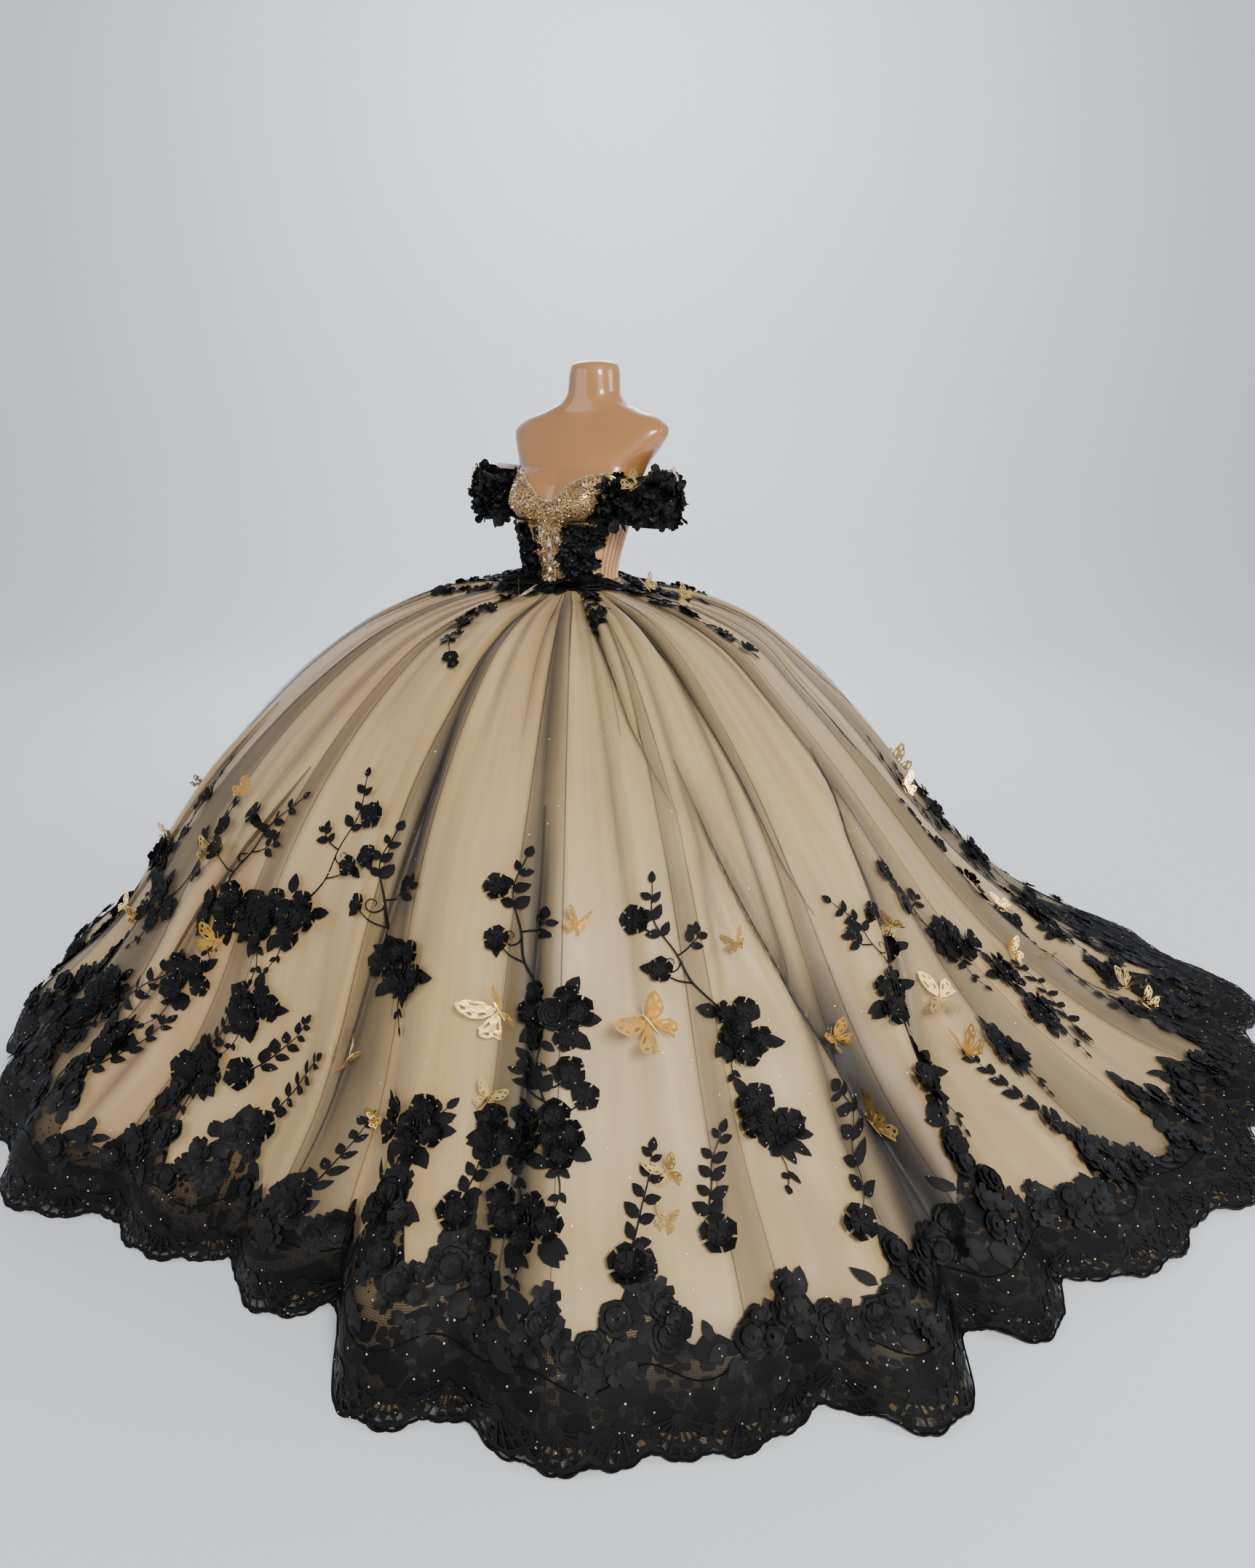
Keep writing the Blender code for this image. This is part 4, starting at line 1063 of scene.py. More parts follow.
def build_blossom(tree, given, made):
    """Embroidered blossoms in a cell pattern: one inside a petal."""
    place = node(tree, "ShaderNodeUVMap", uv_map="cloth").outputs["UV"]
    cells = node(
        tree, "ShaderNodeTexVoronoi", {"Vector": place, "Scale": given["Cells"],
            "Randomness": 0.85},
        voronoi_dimensions="2D",
    )
    scaled = node(
        tree, "ShaderNodeVectorMath", {0: place, "Scale": given["Cells"]}, operation="SCALE"
    ).outputs[0]
    from_heart = node(
        tree, "ShaderNodeVectorMath", {0: scaled, 1: cells.outputs["Position"]},
        operation="SUBTRACT",
    ).outputs[0]
    parts = node(tree, "ShaderNodeSeparateXYZ", {0: from_heart}).outputs
    angle = math_node(tree, "ARCTAN2", parts[1], parts[0])
    wave = math_node(tree, "SINE", product(tree, angle, 5.0))
    reach = math_node(tree, "ADD", product(tree, wave, 0.12), given["Reach"])
    inside = math_node(tree, "LESS_THAN", cells.outputs["Distance"], reach)
    vein = math_node(tree, "GREATER_THAN", math_node(tree, "SINE", product(tree, angle, 15.0)),
        -0.7)
    heart = math_node(tree, "LESS_THAN", cells.outputs["Distance"], 0.10)
    petal = math_node(tree, "MAXIMUM", product(tree, inside, vein), heart)
    tree.links.new(petal, made["Petal"])


def build_sparkle(tree, given, made):
    """Small scattered points of light: one where a sequin lies."""
    place = node(tree, "ShaderNodeTexCoord").outputs["Object"]
    cells = node(
        tree, "ShaderNodeTexVoronoi", {"Vector": place, "Scale": given["Cells"]}
    )
    near = math_node(tree, "LESS_THAN", cells.outputs["Distance"], given["Size"])
    parts = node(tree, "ShaderNodeSeparateColor", {0: cells.outputs["Color"]}).outputs
    chosen = math_node(tree, "LESS_THAN", parts[0], given["Share"])
    tree.links.new(product(tree, near, chosen), made["Sequin"])


def build_streaks(tree, given, made):
    """Long soft streaks that run down the cloth, and a slower unevenness across it."""
    place = node(tree, "ShaderNodeUVMap", uv_map="cloth").outputs["UV"]
    drawn = node(tree, "ShaderNodeVectorMath", {0: place, 1: (1.0, 0.09, 1.0)},
        operation="MULTIPLY")
    fine = node(tree, "ShaderNodeTexNoise",
        {"Vector": drawn.outputs[0], "Scale": given["Across"], "Detail": 3.0})
    slow = node(tree, "ShaderNodeTexNoise",
        {"Vector": place, "Scale": given["Slow"], "Detail": 2.0})
    for source, key in ((fine, "Streaks"), (slow, "Patches")):
        sharp = math_node(tree, "SUBTRACT", source.outputs["Fac"], 0.36)
        tree.links.new(product(tree, sharp, 3.4, True), made[key])


STREAKS = effect(
    "streaks", [("Across", "Float", 22.0), ("Slow", "Float", 2.2)],
    [("Streaks", "Float"), ("Patches", "Float")], build_streaks,
)
WEAVE = effect(
    "weave", [("Threads", "Float", 700.0), ("Patch", "Float", 5.0)],
    [("Threads", "Float"), ("Unevenness", "Float")], build_weave,
)
NET = effect(
    "net", [("Cells", "Float", 240.0), ("Thread", "Float", 0.07)], [("Thread", "Float")], build_net
)
BLOSSOM = effect(
    "blossom", [("Cells", "Float", 22.0), ("Reach", "Float", 0.34)], [("Petal", "Float")],
    build_blossom,
)
SPARKLE = effect(
    "sparkle", [("Cells", "Float", 90.0), ("Size", "Float", 0.08), ("Share", "Float", 0.2)],
    [("Sequin", "Float")], build_sparkle,
)


def grouped(tree, group, **values):
    made = tree.nodes.new("ShaderNodeGroup")
    made.node_tree = group
    for key, value in values.items():
        made.inputs[key].default_value = value
    return made.outputs


def attribute(tree, name):
    return node(tree, "ShaderNodeAttribute", attribute_name=name).outputs["Fac"]


def bumped(tree, shader, height, strength, distance=0.002):
    made = node(
        tree, "ShaderNodeBump", {"Height": height, "Strength": strength, "Distance": distance}
    )
    tree.links.new(made.outputs["Normal"], shader.inputs["Normal"])


def coloured(tree, shader, factor, low, high):
    tree.links.new(mixed(tree, factor, low, high), shader.inputs["Base Color"])


def roughened(tree, shader, patch, spread, least):
    """Roughness that wanders with a patch, from least to least + spread."""
    rough = math_node(tree, "ADD", product(tree, patch, spread), least)
    tree.links.new(rough, shader.inputs["Roughness"])


def satin_finish():
    made, tree, shader = finish_of("champagne_satin", Roughness=0.42, Sheen_Weight=0.12)
    weave = grouped(tree, WEAVE, Threads=520.0, Patch=2.2)
    patch = grouped(tree, WEAVE, Threads=520.0, Patch=9.0)
    base = mixed(tree, attribute(tree, "warm"), (0.64, 0.46, 0.19), (0.62, 0.33, 0.13))
    base = mixed(tree, attribute(tree, "gold"), base, (0.72, 0.44, 0.08))
    streaks = grouped(tree, STREAKS, Across=20.0, Slow=2.6)
    fine = grouped(tree, STREAKS, Across=60.0, Slow=6.0)
    base = mixed(tree, product(tree, streaks["Patches"], 0.55), base, (0.52, 0.33, 0.16))
    base = mixed(tree, product(tree, streaks["Streaks"], 0.50), base, (0.84, 0.63, 0.30))
    base = mixed(tree, product(tree, fine["Streaks"], 0.22), base, (0.50, 0.34, 0.18))
    # Painted shade: the crease value darkens the satin towards a dark brown.
    shade = product(tree, attribute(tree, "crease"), 0.85)
    base = mixed(tree, shade, base, (0.10, 0.065, 0.035))
    tree.links.new(base, shader.inputs["Base Color"])
    roughened(tree, shader, patch["Unevenness"], 0.3, 0.28)
    bumped(tree, shader, weave["Threads"], 0.08, 0.0004)
    return made


def tulle_finish():
    made, tree, shader = finish_of("black_tulle", Roughness=0.6)
    shader.inputs["Sheen Weight"].default_value = 0.12
    sequin = grouped(tree, SPARKLE, Cells=42.0, Size=0.055, Share=0.30)["Sequin"]
    colour = mixed(tree, sequin, (0.042, 0.039, 0.036), (1.0, 0.97, 0.9))
    tree.links.new(colour, shader.inputs["Base Color"])
    tree.links.new(sequin, shader.inputs["Metallic"])
    # The veil holds the tulle's pleated bands and painted shade in creases.
    veil = attribute(tree, "veil")
    patch = grouped(tree, WEAVE, Threads=900.0, Patch=6.0)["Unevenness"]
    uneven = math_node(tree, "ADD", product(tree, patch, 0.5), 0.75)
    alpha = product(tree, veil, uneven)
    tree.links.new(math_node(tree, "MAXIMUM", alpha, sequin, True), shader.inputs["Alpha"])
    return made


def lace_net_finish():
    made, tree, shader = finish_of("black_lace_net", Roughness=0.6)
    shader.inputs["Specular IOR Level"].default_value = 0.14
    net = grouped(tree, NET, Cells=300.0, Thread=0.09)["Thread"]
    small = grouped(tree, BLOSSOM, Cells=58.0, Reach=0.36)["Petal"]
    large = grouped(tree, BLOSSOM, Cells=19.0, Reach=0.34)["Petal"]
    sequin = grouped(tree, SPARKLE, Cells=110.0, Size=0.17, Share=0.13)["Sequin"]
    colour = mixed(tree, large, (0.006, 0.0055, 0.006), (0.002, 0.002, 0.0022))
    colour = mixed(tree, sequin, colour, (0.75, 0.73, 0.70))
    tree.links.new(colour, shader.inputs["Base Color"])
    petals = math_node(tree, "MAXIMUM", product(tree, small, 0.95), large)
    dense = math_node(tree, "MAXIMUM", petals, product(tree, net, 0.6))
    dense = math_node(tree, "MAXIMUM", dense, attribute(tree, "ground"))
    edge = math_node(tree, "GREATER_THAN", attribute(tree, "kept"), 0.5)
    tree.links.new(product(tree, dense, edge), shader.inputs["Alpha"])
    bumped(tree, shader, petals, 0.6, 0.0015)
    return made


def black_finish(name, share=0.05, roughness=0.45, cells=150.0, shine=0.24):
    made, tree, shader = finish_of(name)
    shader.inputs["Specular IOR Level"].default_value = shine
    sequin = grouped(tree, SPARKLE, Cells=cells, Size=0.14, Share=share)["Sequin"]
    patch = grouped(tree, WEAVE, Threads=800.0, Patch=30.0)
    colour = mixed(tree, patch["Unevenness"], (0.0006, 0.0006, 0.0008), (0.006, 0.006, 0.007))
    coloured(tree, shader, sequin, colour, (0.85, 0.83, 0.8))
    roughened(tree, shader, patch["Unevenness"], 0.25, roughness - 0.1)
    bumped(tree, shader, patch["Threads"], 0.25, 0.0006)
    return made


def foil_finish():
    made, tree, shader = finish_of("gold_foil", Metallic=1.0)
    patch = grouped(tree, WEAVE, Threads=60.0, Patch=90.0)
    colour = mixed(tree, patch["Unevenness"], (0.88, 0.52, 0.13), (1.0, 0.80, 0.36))
    tree.links.new(colour, shader.inputs["Base Color"])
    roughened(tree, shader, patch["Unevenness"], 0.3, 0.22)
    bumped(tree, shader, patch["Unevenness"], 0.5, 0.002)
    return made


def beading_finish():
    """Close-set beads on a gold ground, seen as bumps and glints."""
    made, tree, shader = finish_of("gold_beading", Metallic=0.55, Roughness=0.32)
    place = node(tree, "ShaderNodeTexCoord").outputs["Object"]
    cells = node(tree, "ShaderNodeTexVoronoi", {"Vector": place, "Scale": 260.0})
    parts = node(tree, "ShaderNodeSeparateColor", {0: cells.outputs["Color"]}).outputs
    patch = grouped(tree, WEAVE, Threads=300.0, Patch=38.0)["Unevenness"]
    colour = mixed(tree, parts[0], (0.22, 0.12, 0.05), (0.70, 0.50, 0.27))
    colour = mixed(tree, patch, colour, (0.55, 0.37, 0.20))
    dark = math_node(tree, "GREATER_THAN", cells.outputs["Distance"], 0.62)
    coloured(tree, shader, dark, colour, (0.10, 0.05, 0.02))
    bumped(tree, shader, math_node(tree, "SUBTRACT", 1.0, cells.outputs["Distance"]), 0.9, 0.0015)
    return made


def bead_finish(name, low, high, roughness=0.18, metallic=0.9):
    made, tree, shader = finish_of(name, Metallic=metallic, Roughness=roughness)
    place = node(tree, "ShaderNodeTexCoord").outputs["Object"]
    cells = node(tree, "ShaderNodeTexVoronoi", {"Vector": place, "Scale": 180.0})
    parts = node(tree, "ShaderNodeSeparateColor", {0: cells.outputs["Color"]}).outputs
    coloured(tree, shader, parts[1], low, high)
    return made


def cloth_finish(name, low, high, roughness, sheen=0.2, alpha=None):
    made, tree, shader = finish_of(name, Roughness=roughness, Sheen_Weight=sheen)
    weave = grouped(tree, WEAVE, Threads=900.0, Patch=22.0)
    colour = mixed(tree, weave["Unevenness"], low, high)
    # Painted shade: the fold value darkens the pleats' grooves towards 0.3 times the low colour.
    depth = product(tree, attribute(tree, "fold"), 0.75)
    deep = tuple(0.3 * value for value in low)
    coloured(tree, shader, depth, colour, deep)
    bumped(tree, shader, weave["Threads"], 0.15, 0.0003)
    if alpha:
        uneven = math_node(tree, "ADD", product(tree, weave["Threads"], 0.2), alpha)
        tree.links.new(uneven, shader.inputs["Alpha"])
    return made


def line_finish():
    """Doubled tulle, and painted shadow lines along the drapes: dark and still a little sheer."""
    made, tree, shader = finish_of("folded_tulle", Roughness=0.7)
    shader.inputs["Specular IOR Level"].default_value = 0.2
    patch = grouped(tree, WEAVE, Threads=900.0, Patch=5.0)["Unevenness"]
    coloured(tree, shader, patch, (0.02, 0.015, 0.012), (0.05, 0.04, 0.035))
    tree.links.new(product(tree, patch, 0.95, True), shader.inputs["Alpha"])
    return made


def shell_finish():
    made, tree, shader = finish_of("glossy_form", Coat_Weight=0.9, Coat_Roughness=0.06)
    patch = grouped(tree, WEAVE, Threads=200.0, Patch=7.0)["Unevenness"]
    coloured(tree, shader, patch, (0.36, 0.150, 0.045), (0.50, 0.235, 0.080))
    roughened(tree, shader, patch, 0.12, 0.24)
    return made


def metal_finish():
    made, tree, shader = finish_of("painted_stand", Metallic=0.0, Coat_Weight=0.3)
    patch = grouped(tree, WEAVE, Threads=200.0, Patch=60.0)["Unevenness"]
    coloured(tree, shader, patch, (0.02, 0.02, 0.02), (0.05, 0.05, 0.05))
    roughened(tree, shader, patch, 0.2, 0.35)
    return made


# Sizes of the cloth, read off its own grid


def girth_and_length(points, closed):
    """Longest run round a grid and longest run down it."""
    round_it = np.linalg.norm(np.diff(points, axis=0), axis=-1).sum(axis=0)
    if closed:
        round_it = round_it + np.linalg.norm(points[0] - points[-1], axis=-1)
    down = np.linalg.norm(np.diff(points, axis=1), axis=-1).sum(axis=1)
    return float(round_it.max()), float(down.max())


def kept_piece(piece, nodes=()):
    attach(piece, "root")
    if nodes:
        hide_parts(*nodes)
    return piece


def cloth_piece(
    piece, points, closed, nodes=(), width=None
):
    """Keeps a cloth piece and works out its girth and length from the grid it was made on."""
    kept_piece(piece, nodes)
    girth, length = girth_and_length(points, closed)
    width = width or girth
    return piece


# The skirt

SATIN_OUT = 0.0010
TULLE_OUT = 0.0046
LACE_OUT = 0.0064
TRIM_OUT = 0.0078


def skirt_sheet(bearings, rows, out):
    bearing, row = np.meshgrid(bearings, rows, indexing="ij")
    points = sampled(SKIRT, bearing, row) + sampled(SKIRT_NORMALS, bearing, row) * out
    points[..., 2] = np.maximum(points[..., 2], 0.0006)
    return points, bearing, row


def bump_of(x, middle, width):
    return np.exp(-(((x - middle) / width) ** 2))


def around(bearing, middle, width):
    return bump_of((bearing - middle + 180) % 360 - 180, 0, width)


def lay_cloth_map(piece, flat):
    """Lays the cloth's own flat coordinates, in metres, on both faces of a shell."""
    layer = piece.data.uv_layers.new(name="cloth")
    corner = np.empty(len(piece.data.loops), np.int32)
    piece.data.loops.foreach_get("vertex_index", corner)
    doubled = np.concatenate([flat.reshape(-1, 2)] * 2).astype(np.float32)
    layer.data.foreach_set("uv", doubled[corner].ravel())


def trough_shade(bearing, row):
    """How deep in a fold's trough a point lies, for the dirt-free shade of folded satin."""
    shade = np.zeros_like(bearing)
    for trough, depth, start in FOLDS:
        width = 2.6 + 16 * depth
        grown = np.clip((row / LAST_ROW - 0.25 - start) / 0.5, 0, 1)
        shade += 1.5 * depth * grown * around(bearing, trough, width)
    return shade


def make_gown(finish):
    bearings = np.arange(720) * 0.5 - 180
    rows = np.concatenate([np.linspace(0, 3, 20)[:-1], np.linspace(3, LAST_ROW, 47)])
    outer, bearing, row = skirt_sheet(bearings, rows, SATIN_OUT)
    inner, _, _ = skirt_sheet(bearings, rows, -0.0010)
    down = row / LAST_ROW
    crease = sampled(SKIRT_CREASE, bearing, row)
    # Painted shade along the deep trough at bearing 61.5.
    deep = around(bearing, 61.5, 3.0) * np.clip((row - 6) / 3, 0, 1) * 1.2
    warm = np.clip(0.5 - 0.5 * np.sin(np.radians(bearing * 1.0 + 10)), 0, 1) * 0.6
    warm += 0.45 * around(bearing, -14, 5) + 0.4 * around(bearing, 84, 22) * down
    gold = 0.75 * around(bearing, 9, 3.2) * np.clip(down * 1.6, 0, 1) + 0.25 * around(bearing, 22,
        5)
    values = {
        # Painted shade: creases, drape grooves and fold troughs darken the satin.
        "crease": np.clip((0.25 + 0.25 * down) * crease + deep + trough_shade(bearing, row), 0, 1),
        "warm": np.clip(warm, 0, 1),
        "gold": np.clip(gold, 0, 1),
    }
    piece = shell_piece("gown_satin", outer, inner, len(bearings), len(rows), finish, True, values)
    lay_cloth_map(piece, np.stack([np.radians(bearing) * 1.2, up_at(bearing, row)], -1))
    gores = [f"skirt_gore_{k}" for k in range(1, 10)]
    cloth_piece(piece, outer, True, gores)


VEIL_BANDS = [
    # bearing at the waist, bearing at the hem, width in degrees, depth of grey
    (-62.0, -44.0, 5.5, 0.34), (-30.0, -27.0, 4.5, 0.42), (-8.0, -10.0, 2.6, 0.30),
    (13.5, 9.5, 3.2, 0.36), (31.5, 28.0, 3.4, 0.38), (47.0, 46.0, 1.6, 0.22),
    (60.0, 63.0, 1.6, 0.22), (80.0, 86.0, 3.5, 0.28), (98.0, 106.0, 5.0, 0.30),
    (125.0, 128.0, 6.0, 0.30), (152.0, 150.0, 5.0, 0.36), (178.0, 176.0, 5.0, 0.32),
    (-152.0, -150.0, 5.0, 0.34), (-124.0, -126.0, 5.5, 0.30), (-96.0, -92.0, 5.0, 0.36),
]


def veil_at(bearing, row):
    """How grey the tulle looks: pleated bands with one sharp side, and painted shade in creases."""
    down = row / LAST_ROW
    up = up_at(bearing, row)
    veil = 0.07 + 0.03 * down + 0.05 * np.clip(1 - row / 3, 0, 1) + 0.9 * np.clip(1.1 - up / 0.15,
        0, 1)
    for top, foot, width, depth in VEIL_BANDS:
        middle = top + (foot - top) * down
        away = (bearing - middle + 180) % 360 - 180
        grown = width * (0.55 + 0.45 * down)
        band = np.clip((away / grown + 1) * 6, 0, 1) * np.clip((1 - away / grown) * 1.4, 0, 1)
        edges = np.clip((away / grown + 1) * 9, 0, 1) * np.clip((1 - away / grown) * 5, 0, 1)
        line = bump_of(away, -grown, 0.3) + 0.6 * bump_of(away, grown, 0.25)
        veil = veil + 0.8 * depth * (0.6 * band + 0.4 * edges + 0.6 * line) * np.clip(row / 1.5,
            0.3, 1)
    # Painted shade: the tulle thickens in creases and along the deep trough at 61.5 degrees.
    crease = sampled(SKIRT_CREASE, bearing, row)
    deep = around(bearing, 61.5, 2.6) * np.clip((row - 7) / 3, 0, 1)
    return np.clip(veil + (0.22 + 0.2 * down) * crease + 0.6 * deep, 0, 0.9)


def make_tulle(finish):
    bearings = np.arange(720) * 0.5 - 180
    rows = np.concatenate([np.linspace(0, 3, 14)[:-1], np.linspace(3, LAST_ROW - 0.3, 40)])
    outer, bearing, row = skirt_sheet(bearings, rows, TULLE_OUT)
    inner, _, _ = skirt_sheet(bearings, rows, TULLE_OUT - 0.0004)
    piece = shell_piece(
        "tulle_overskirt", outer, inner, len(bearings), len(rows), finish, True,
        {"veil": veil_at(bearing, row) * 0.75},
    )
    cloth_piece(piece, outer, True)


def make_pleat_lines(finish):
    """Thin dark edges where the tulle is folded over itself, and painted shadow lines along the
    drapes' sharp edges.
    """
    strips = []
    rows = np.linspace(0.9, LAST_ROW - 0.6, 46)
    for top, foot, width, _ in VEIL_BANDS:
        down = rows / LAST_ROW
        for side in (-1, 1):
            bearing = top + (foot - top) * down + side * width * (0.55 + 0.45 * down)
            path = np.stack([bearing, up_at(bearing, rows)], -1)
            strips.append(ribbon(path, 0.0032, TULLE_OUT + 0.0004))
    for middle, lean, depth, end in list(zip(*pleat_table()))[::3]:
        rows = np.linspace(0.85, end - 0.3, 8 + int(4 * end))
        bearing = middle + lean * (rows - 1) + 0.25 * np.sin(rows * 1.7 + middle)
        path = np.stack([bearing, up_at(bearing, rows)], -1)
        strips.append(ribbon(path, 0.0012 + 0.12 * depth, TULLE_OUT + 0.0004))
    # Painted shadow lines along the drapes' sharp edges.
    for _, _, path in DRAPES:
        bearings, knots = np.array(path).T
        rows = np.linspace(knots[0], knots[-1], 30)
        bearing = np.interp(rows, knots, bearings)
        strips.append(ribbon(np.stack([bearing, up_at(bearing, rows)], -1), 0.005,
            TULLE_OUT + 0.0006))
    points, faces = joined(strips)
    kept_piece(mesh_piece("tulle_pleat_lines", points, faces, finish))


# Lace border

LACE_PEAKS = [
    # bearing, how high the border climbs
    (-60.0, 0.27), (-50.0, 0.33), (-39.0, 0.30), (-29.5, 0.40), (-20.5, 0.30), (-9.0, 0.30),
    (-1.0, 0.27), (8.0, 0.21), (19.0, 0.33), (25.0, 0.28), (31.5, 0.20), (38.0, 0.24),
    (48.0, 0.17), (56.5, 0.24), (66.0, 0.30), (79.5, 0.26), (90.0, 0.30), (99.0, 0.22),
    (107.0, 0.34), (113.0, 0.42), (119.0, 0.40), (126.0, 0.42), (133.0, 0.40), (140.0, 0.34),
        (147.0, 0.26), (154.0, 0.36), (165.0, 0.26),
    (174.0, 0.32), (-175.0, 0.24), (-165.0, 0.35), (-154.0, 0.25), (-143.0, 0.32),
    (-133.0, 0.24), (-121.0, 0.36), (-110.0, 0.26), (-99.0, 0.33), (-89.0, 0.25), (-79.0, 0.36),
    (-70.0, 0.26),
]


def lace_top(bearing):
    """How far up the cloth the border reaches, in uneven peaks."""
    bearing = np.asarray(bearing, float)
    top = np.full(bearing.shape, 0.145)
    for middle, high in LACE_PEAKS:
        away = np.abs((bearing - middle + 180) % 360 - 180)
        top = np.maximum(top, high - (high - 0.1) * np.clip(away / 4.2, 0, 1) ** 1.3)
    wave = 0.012 * np.sin(np.radians(bearing * 61)) + 0.008 * np.sin(np.radians(bearing * 97))
    return top + wave


FANS = 100


def scalloped_foot(bearing):
    """The border's lower edge: a scallop to each fan, with three small lobes in it."""
    turn = np.radians(np.asarray(bearing, float) * FANS / 2)
    return -0.006 - 0.014 * np.abs(np.cos(turn)) - 0.004 * np.abs(np.sin(3 * turn))


def make_hem_net(finish):
    bearings = np.arange(1600) * 0.225 - 180
    shares = np.linspace(0, 1, 20)
    bearing, share = np.meshgrid(bearings, shares, indexing="ij")
    top = lace_top(bearing)
    up = top + 0.01 + (scalloped_foot(bearing) - top - 0.01) * share
    outer = on_skirt(bearing, up, LACE_OUT)
    inner = on_skirt(bearing, up, LACE_OUT - 0.0005)
    uv = np.stack([np.radians(bearing) * 1.42, up], -1)
    fade = np.clip((top - up) / 0.02, 0, 1)
    ground = 0.17 + 0.06 * np.clip(1 - up / 0.12, 0, 1)
    piece = shell_piece(
        "hem_lace_net", outer, inner, len(bearings), len(shares), finish, True,
        {"ground": ground, "kept": fade},
    )
    lay_cloth_map(piece, uv)
    laces = [f"hem_lace_{k}" for k in range(1, 10)]
    foot, _ = girth_and_length(outer[:, -3:], True)
    cloth_piece(piece, outer, True, laces, width=foot)


def make_hem_fans(finish):
    """Fans side by side along the foot, with a heart of petals each."""
    count = FANS
    bearing = -180 + 360 * np.arange(count) / count
    rng = np.random.default_rng(5)
    places = np.stack([
        bearing, 0.040 + rng.uniform(-0.004, 0.004, count), rng.uniform(-6, 6, count),
        0.060 + rng.uniform(-0.004, 0.004, count),
    ], -1)
    points, faces = conformed(motif_fan(), places, TRIM_OUT, 0.12)
    cord = np.linspace(-180, 180, 2401)
    edge = ribbon(np.stack([cord, scalloped_foot(cord) + 0.003], -1), 0.008, TRIM_OUT)
    upper = ribbon(np.stack([cord, 0.105 + 0.012 * np.sin(np.radians(cord * 50))], -1), 0.004,
        TRIM_OUT)
    points, faces = joined([(points, faces), edge, upper])
    piece = mesh_piece("hem_fans", points, faces, finish, smooth=False)
    kept_piece(piece)


def border_places(seed, count, low, high):
    """Places on the lace border, closer together towards the foot."""
    rng = np.random.default_rng(seed)
    bearing = rng.uniform(-180, 180, count)
    top = lace_top(bearing)
    up = 0.115 + (top - 0.105) * rng.uniform(0, 1, count) ** 0.9
    return np.stack([bearing, up, rng.uniform(0, 360, count), rng.uniform(low, high, count)], -1)


def surface_at(places, out):
    """Points, outward directions and up directions for (bearing, up, ...) rows."""
    bearing, up = places[:, 0], places[:, 1]
    row = row_at(bearing, np.maximum(up, 0))
    points = on_skirt(bearing, up, out)
    normals = sampled(SKIRT_NORMALS, bearing, row)
    ups = on_skirt(bearing, up + 0.02, out) - points
    return points, normals, ups


def make_border_flowers(finish):
    """Raised flowers and leaves crowded over the border and along its peaks."""
    rng = np.random.default_rng(8)
    flowers = border_places(21, 520, 0.028, 0.052)
    tips = []
    for middle, high in LACE_PEAKS:
        for _ in range(5):
            off = rng.uniform(-2.6, 2.6)
            tips.append((middle + off, high - 0.018 - abs(off) * 0.028, rng.uniform(0, 360),
                         rng.uniform(0.034, 0.055)))
    places = np.concatenate([flowers, tips])
    points, normals, ups = surface_at(places, TRIM_OUT)
    motifs = [motif_flower(5, 0.35), motif_flower(6, 0.2), motif_rose(SMALL_ROSE_RINGS)]
    piece = scattered(
        "border_flowers", points, normals, ups, places[:, 2], places[:, 3] * 1.05, motifs, finish, 9
    )
    kept_piece(piece)
    leaves = border_places(33, 620, 0.026, 0.050)
    spikes = []
    for middle, high in LACE_PEAKS:
        for turn in (-35, 5, 40):
            spikes.append((middle + turn * 0.02, high - 0.02, turn, rng.uniform(0.035, 0.06)))
    places = np.concatenate([leaves, spikes])
    points, faces = conformed(motif_leaf(), places, TRIM_OUT)
    kept_piece(mesh_piece("border_leaves", points, faces, finish))


# Vines with roses, buds and paired leaves

CLUSTERS = [
    # bearing and row of the rose, bearing and row of the tip, curl side, rose size in metres
    (-3.5, 6.75, 0.5, 4.95, 1, 0.088), (-8.0, 6.95, None, None, 1, 0.070),
    (-28.5, 7.45, -24.0, 5.6, 1, 0.085), (-14.0, 6.95, -9.5, 5.4, -1, 0.075),
    (14.0, 7.05, 9.5, 5.5, -1, 0.070), (31.5, 7.2, 28.0, 5.6, -1, 0.078),
    (50.0, 7.6, 43.0, 5.9, -1, 0.075), (69.5, 7.8, 66.0, 6.5, 1, 0.070),
    (86.0, 7.7, 80.0, 6.4, -1, 0.070), (-41.0, 7.3, -38.0, 5.6, 1, 0.078),
    (-71.0, 7.2, -66.0, 5.7, 1, 0.085), (-56.0, 7.6, -51.0, 6.1, -1, 0.072),
    (-88.0, 7.5, -84.0, 5.9, 1, 0.080), (-106.0, 7.3, -101.0, 5.6, -1, 0.080),
    (-123.0, 7.4, -119.0, 5.7, 1, 0.085), (-141.0, 7.5, -137.0, 5.8, -1, 0.075),
    (-165.0, 7.2, -160.0, 5.5, 1, 0.085), (177.0, 7.4, 181.0, 5.8, 1, 0.078),
    (162.0, 7.3, 158.0, 5.6, -1, 0.082), (144.0, 7.5, 140.0, 5.9, 1, 0.075),
    (129.0, 7.4, 125.0, 5.7, -1, 0.080), (107.0, 7.6, 103.0, 6.1, 1, 0.072),
    (-5.0, 8.0, None, None, 1, 0.070), (-15.5, 7.95, None, None, 1, 0.060),
    (-28.5, 8.85, None, None, 1, 0.072), (-29.5, 9.5, None, None, 1, 0.070),
    (31.5, 8.45, 29.0, 7.7, 1, 0.062), (29.5, 9.3, None, None, 1, 0.075),
    (50.5, 8.6, None, None, 1, 0.064), (81.0, 8.95, None, None, 1, 0.066),
    (90.5, 8.9, None, None, 1, 0.060), (-75.0, 8.8, None, None, 1, 0.070),
    (-112.0, 8.7, None, None, 1, 0.068), (-150.0, 8.8, None, None, 1, 0.070),
    (150.0, 8.8, None, None, 1, 0.070), (118.0, 8.7, None, None, 1, 0.066),
]
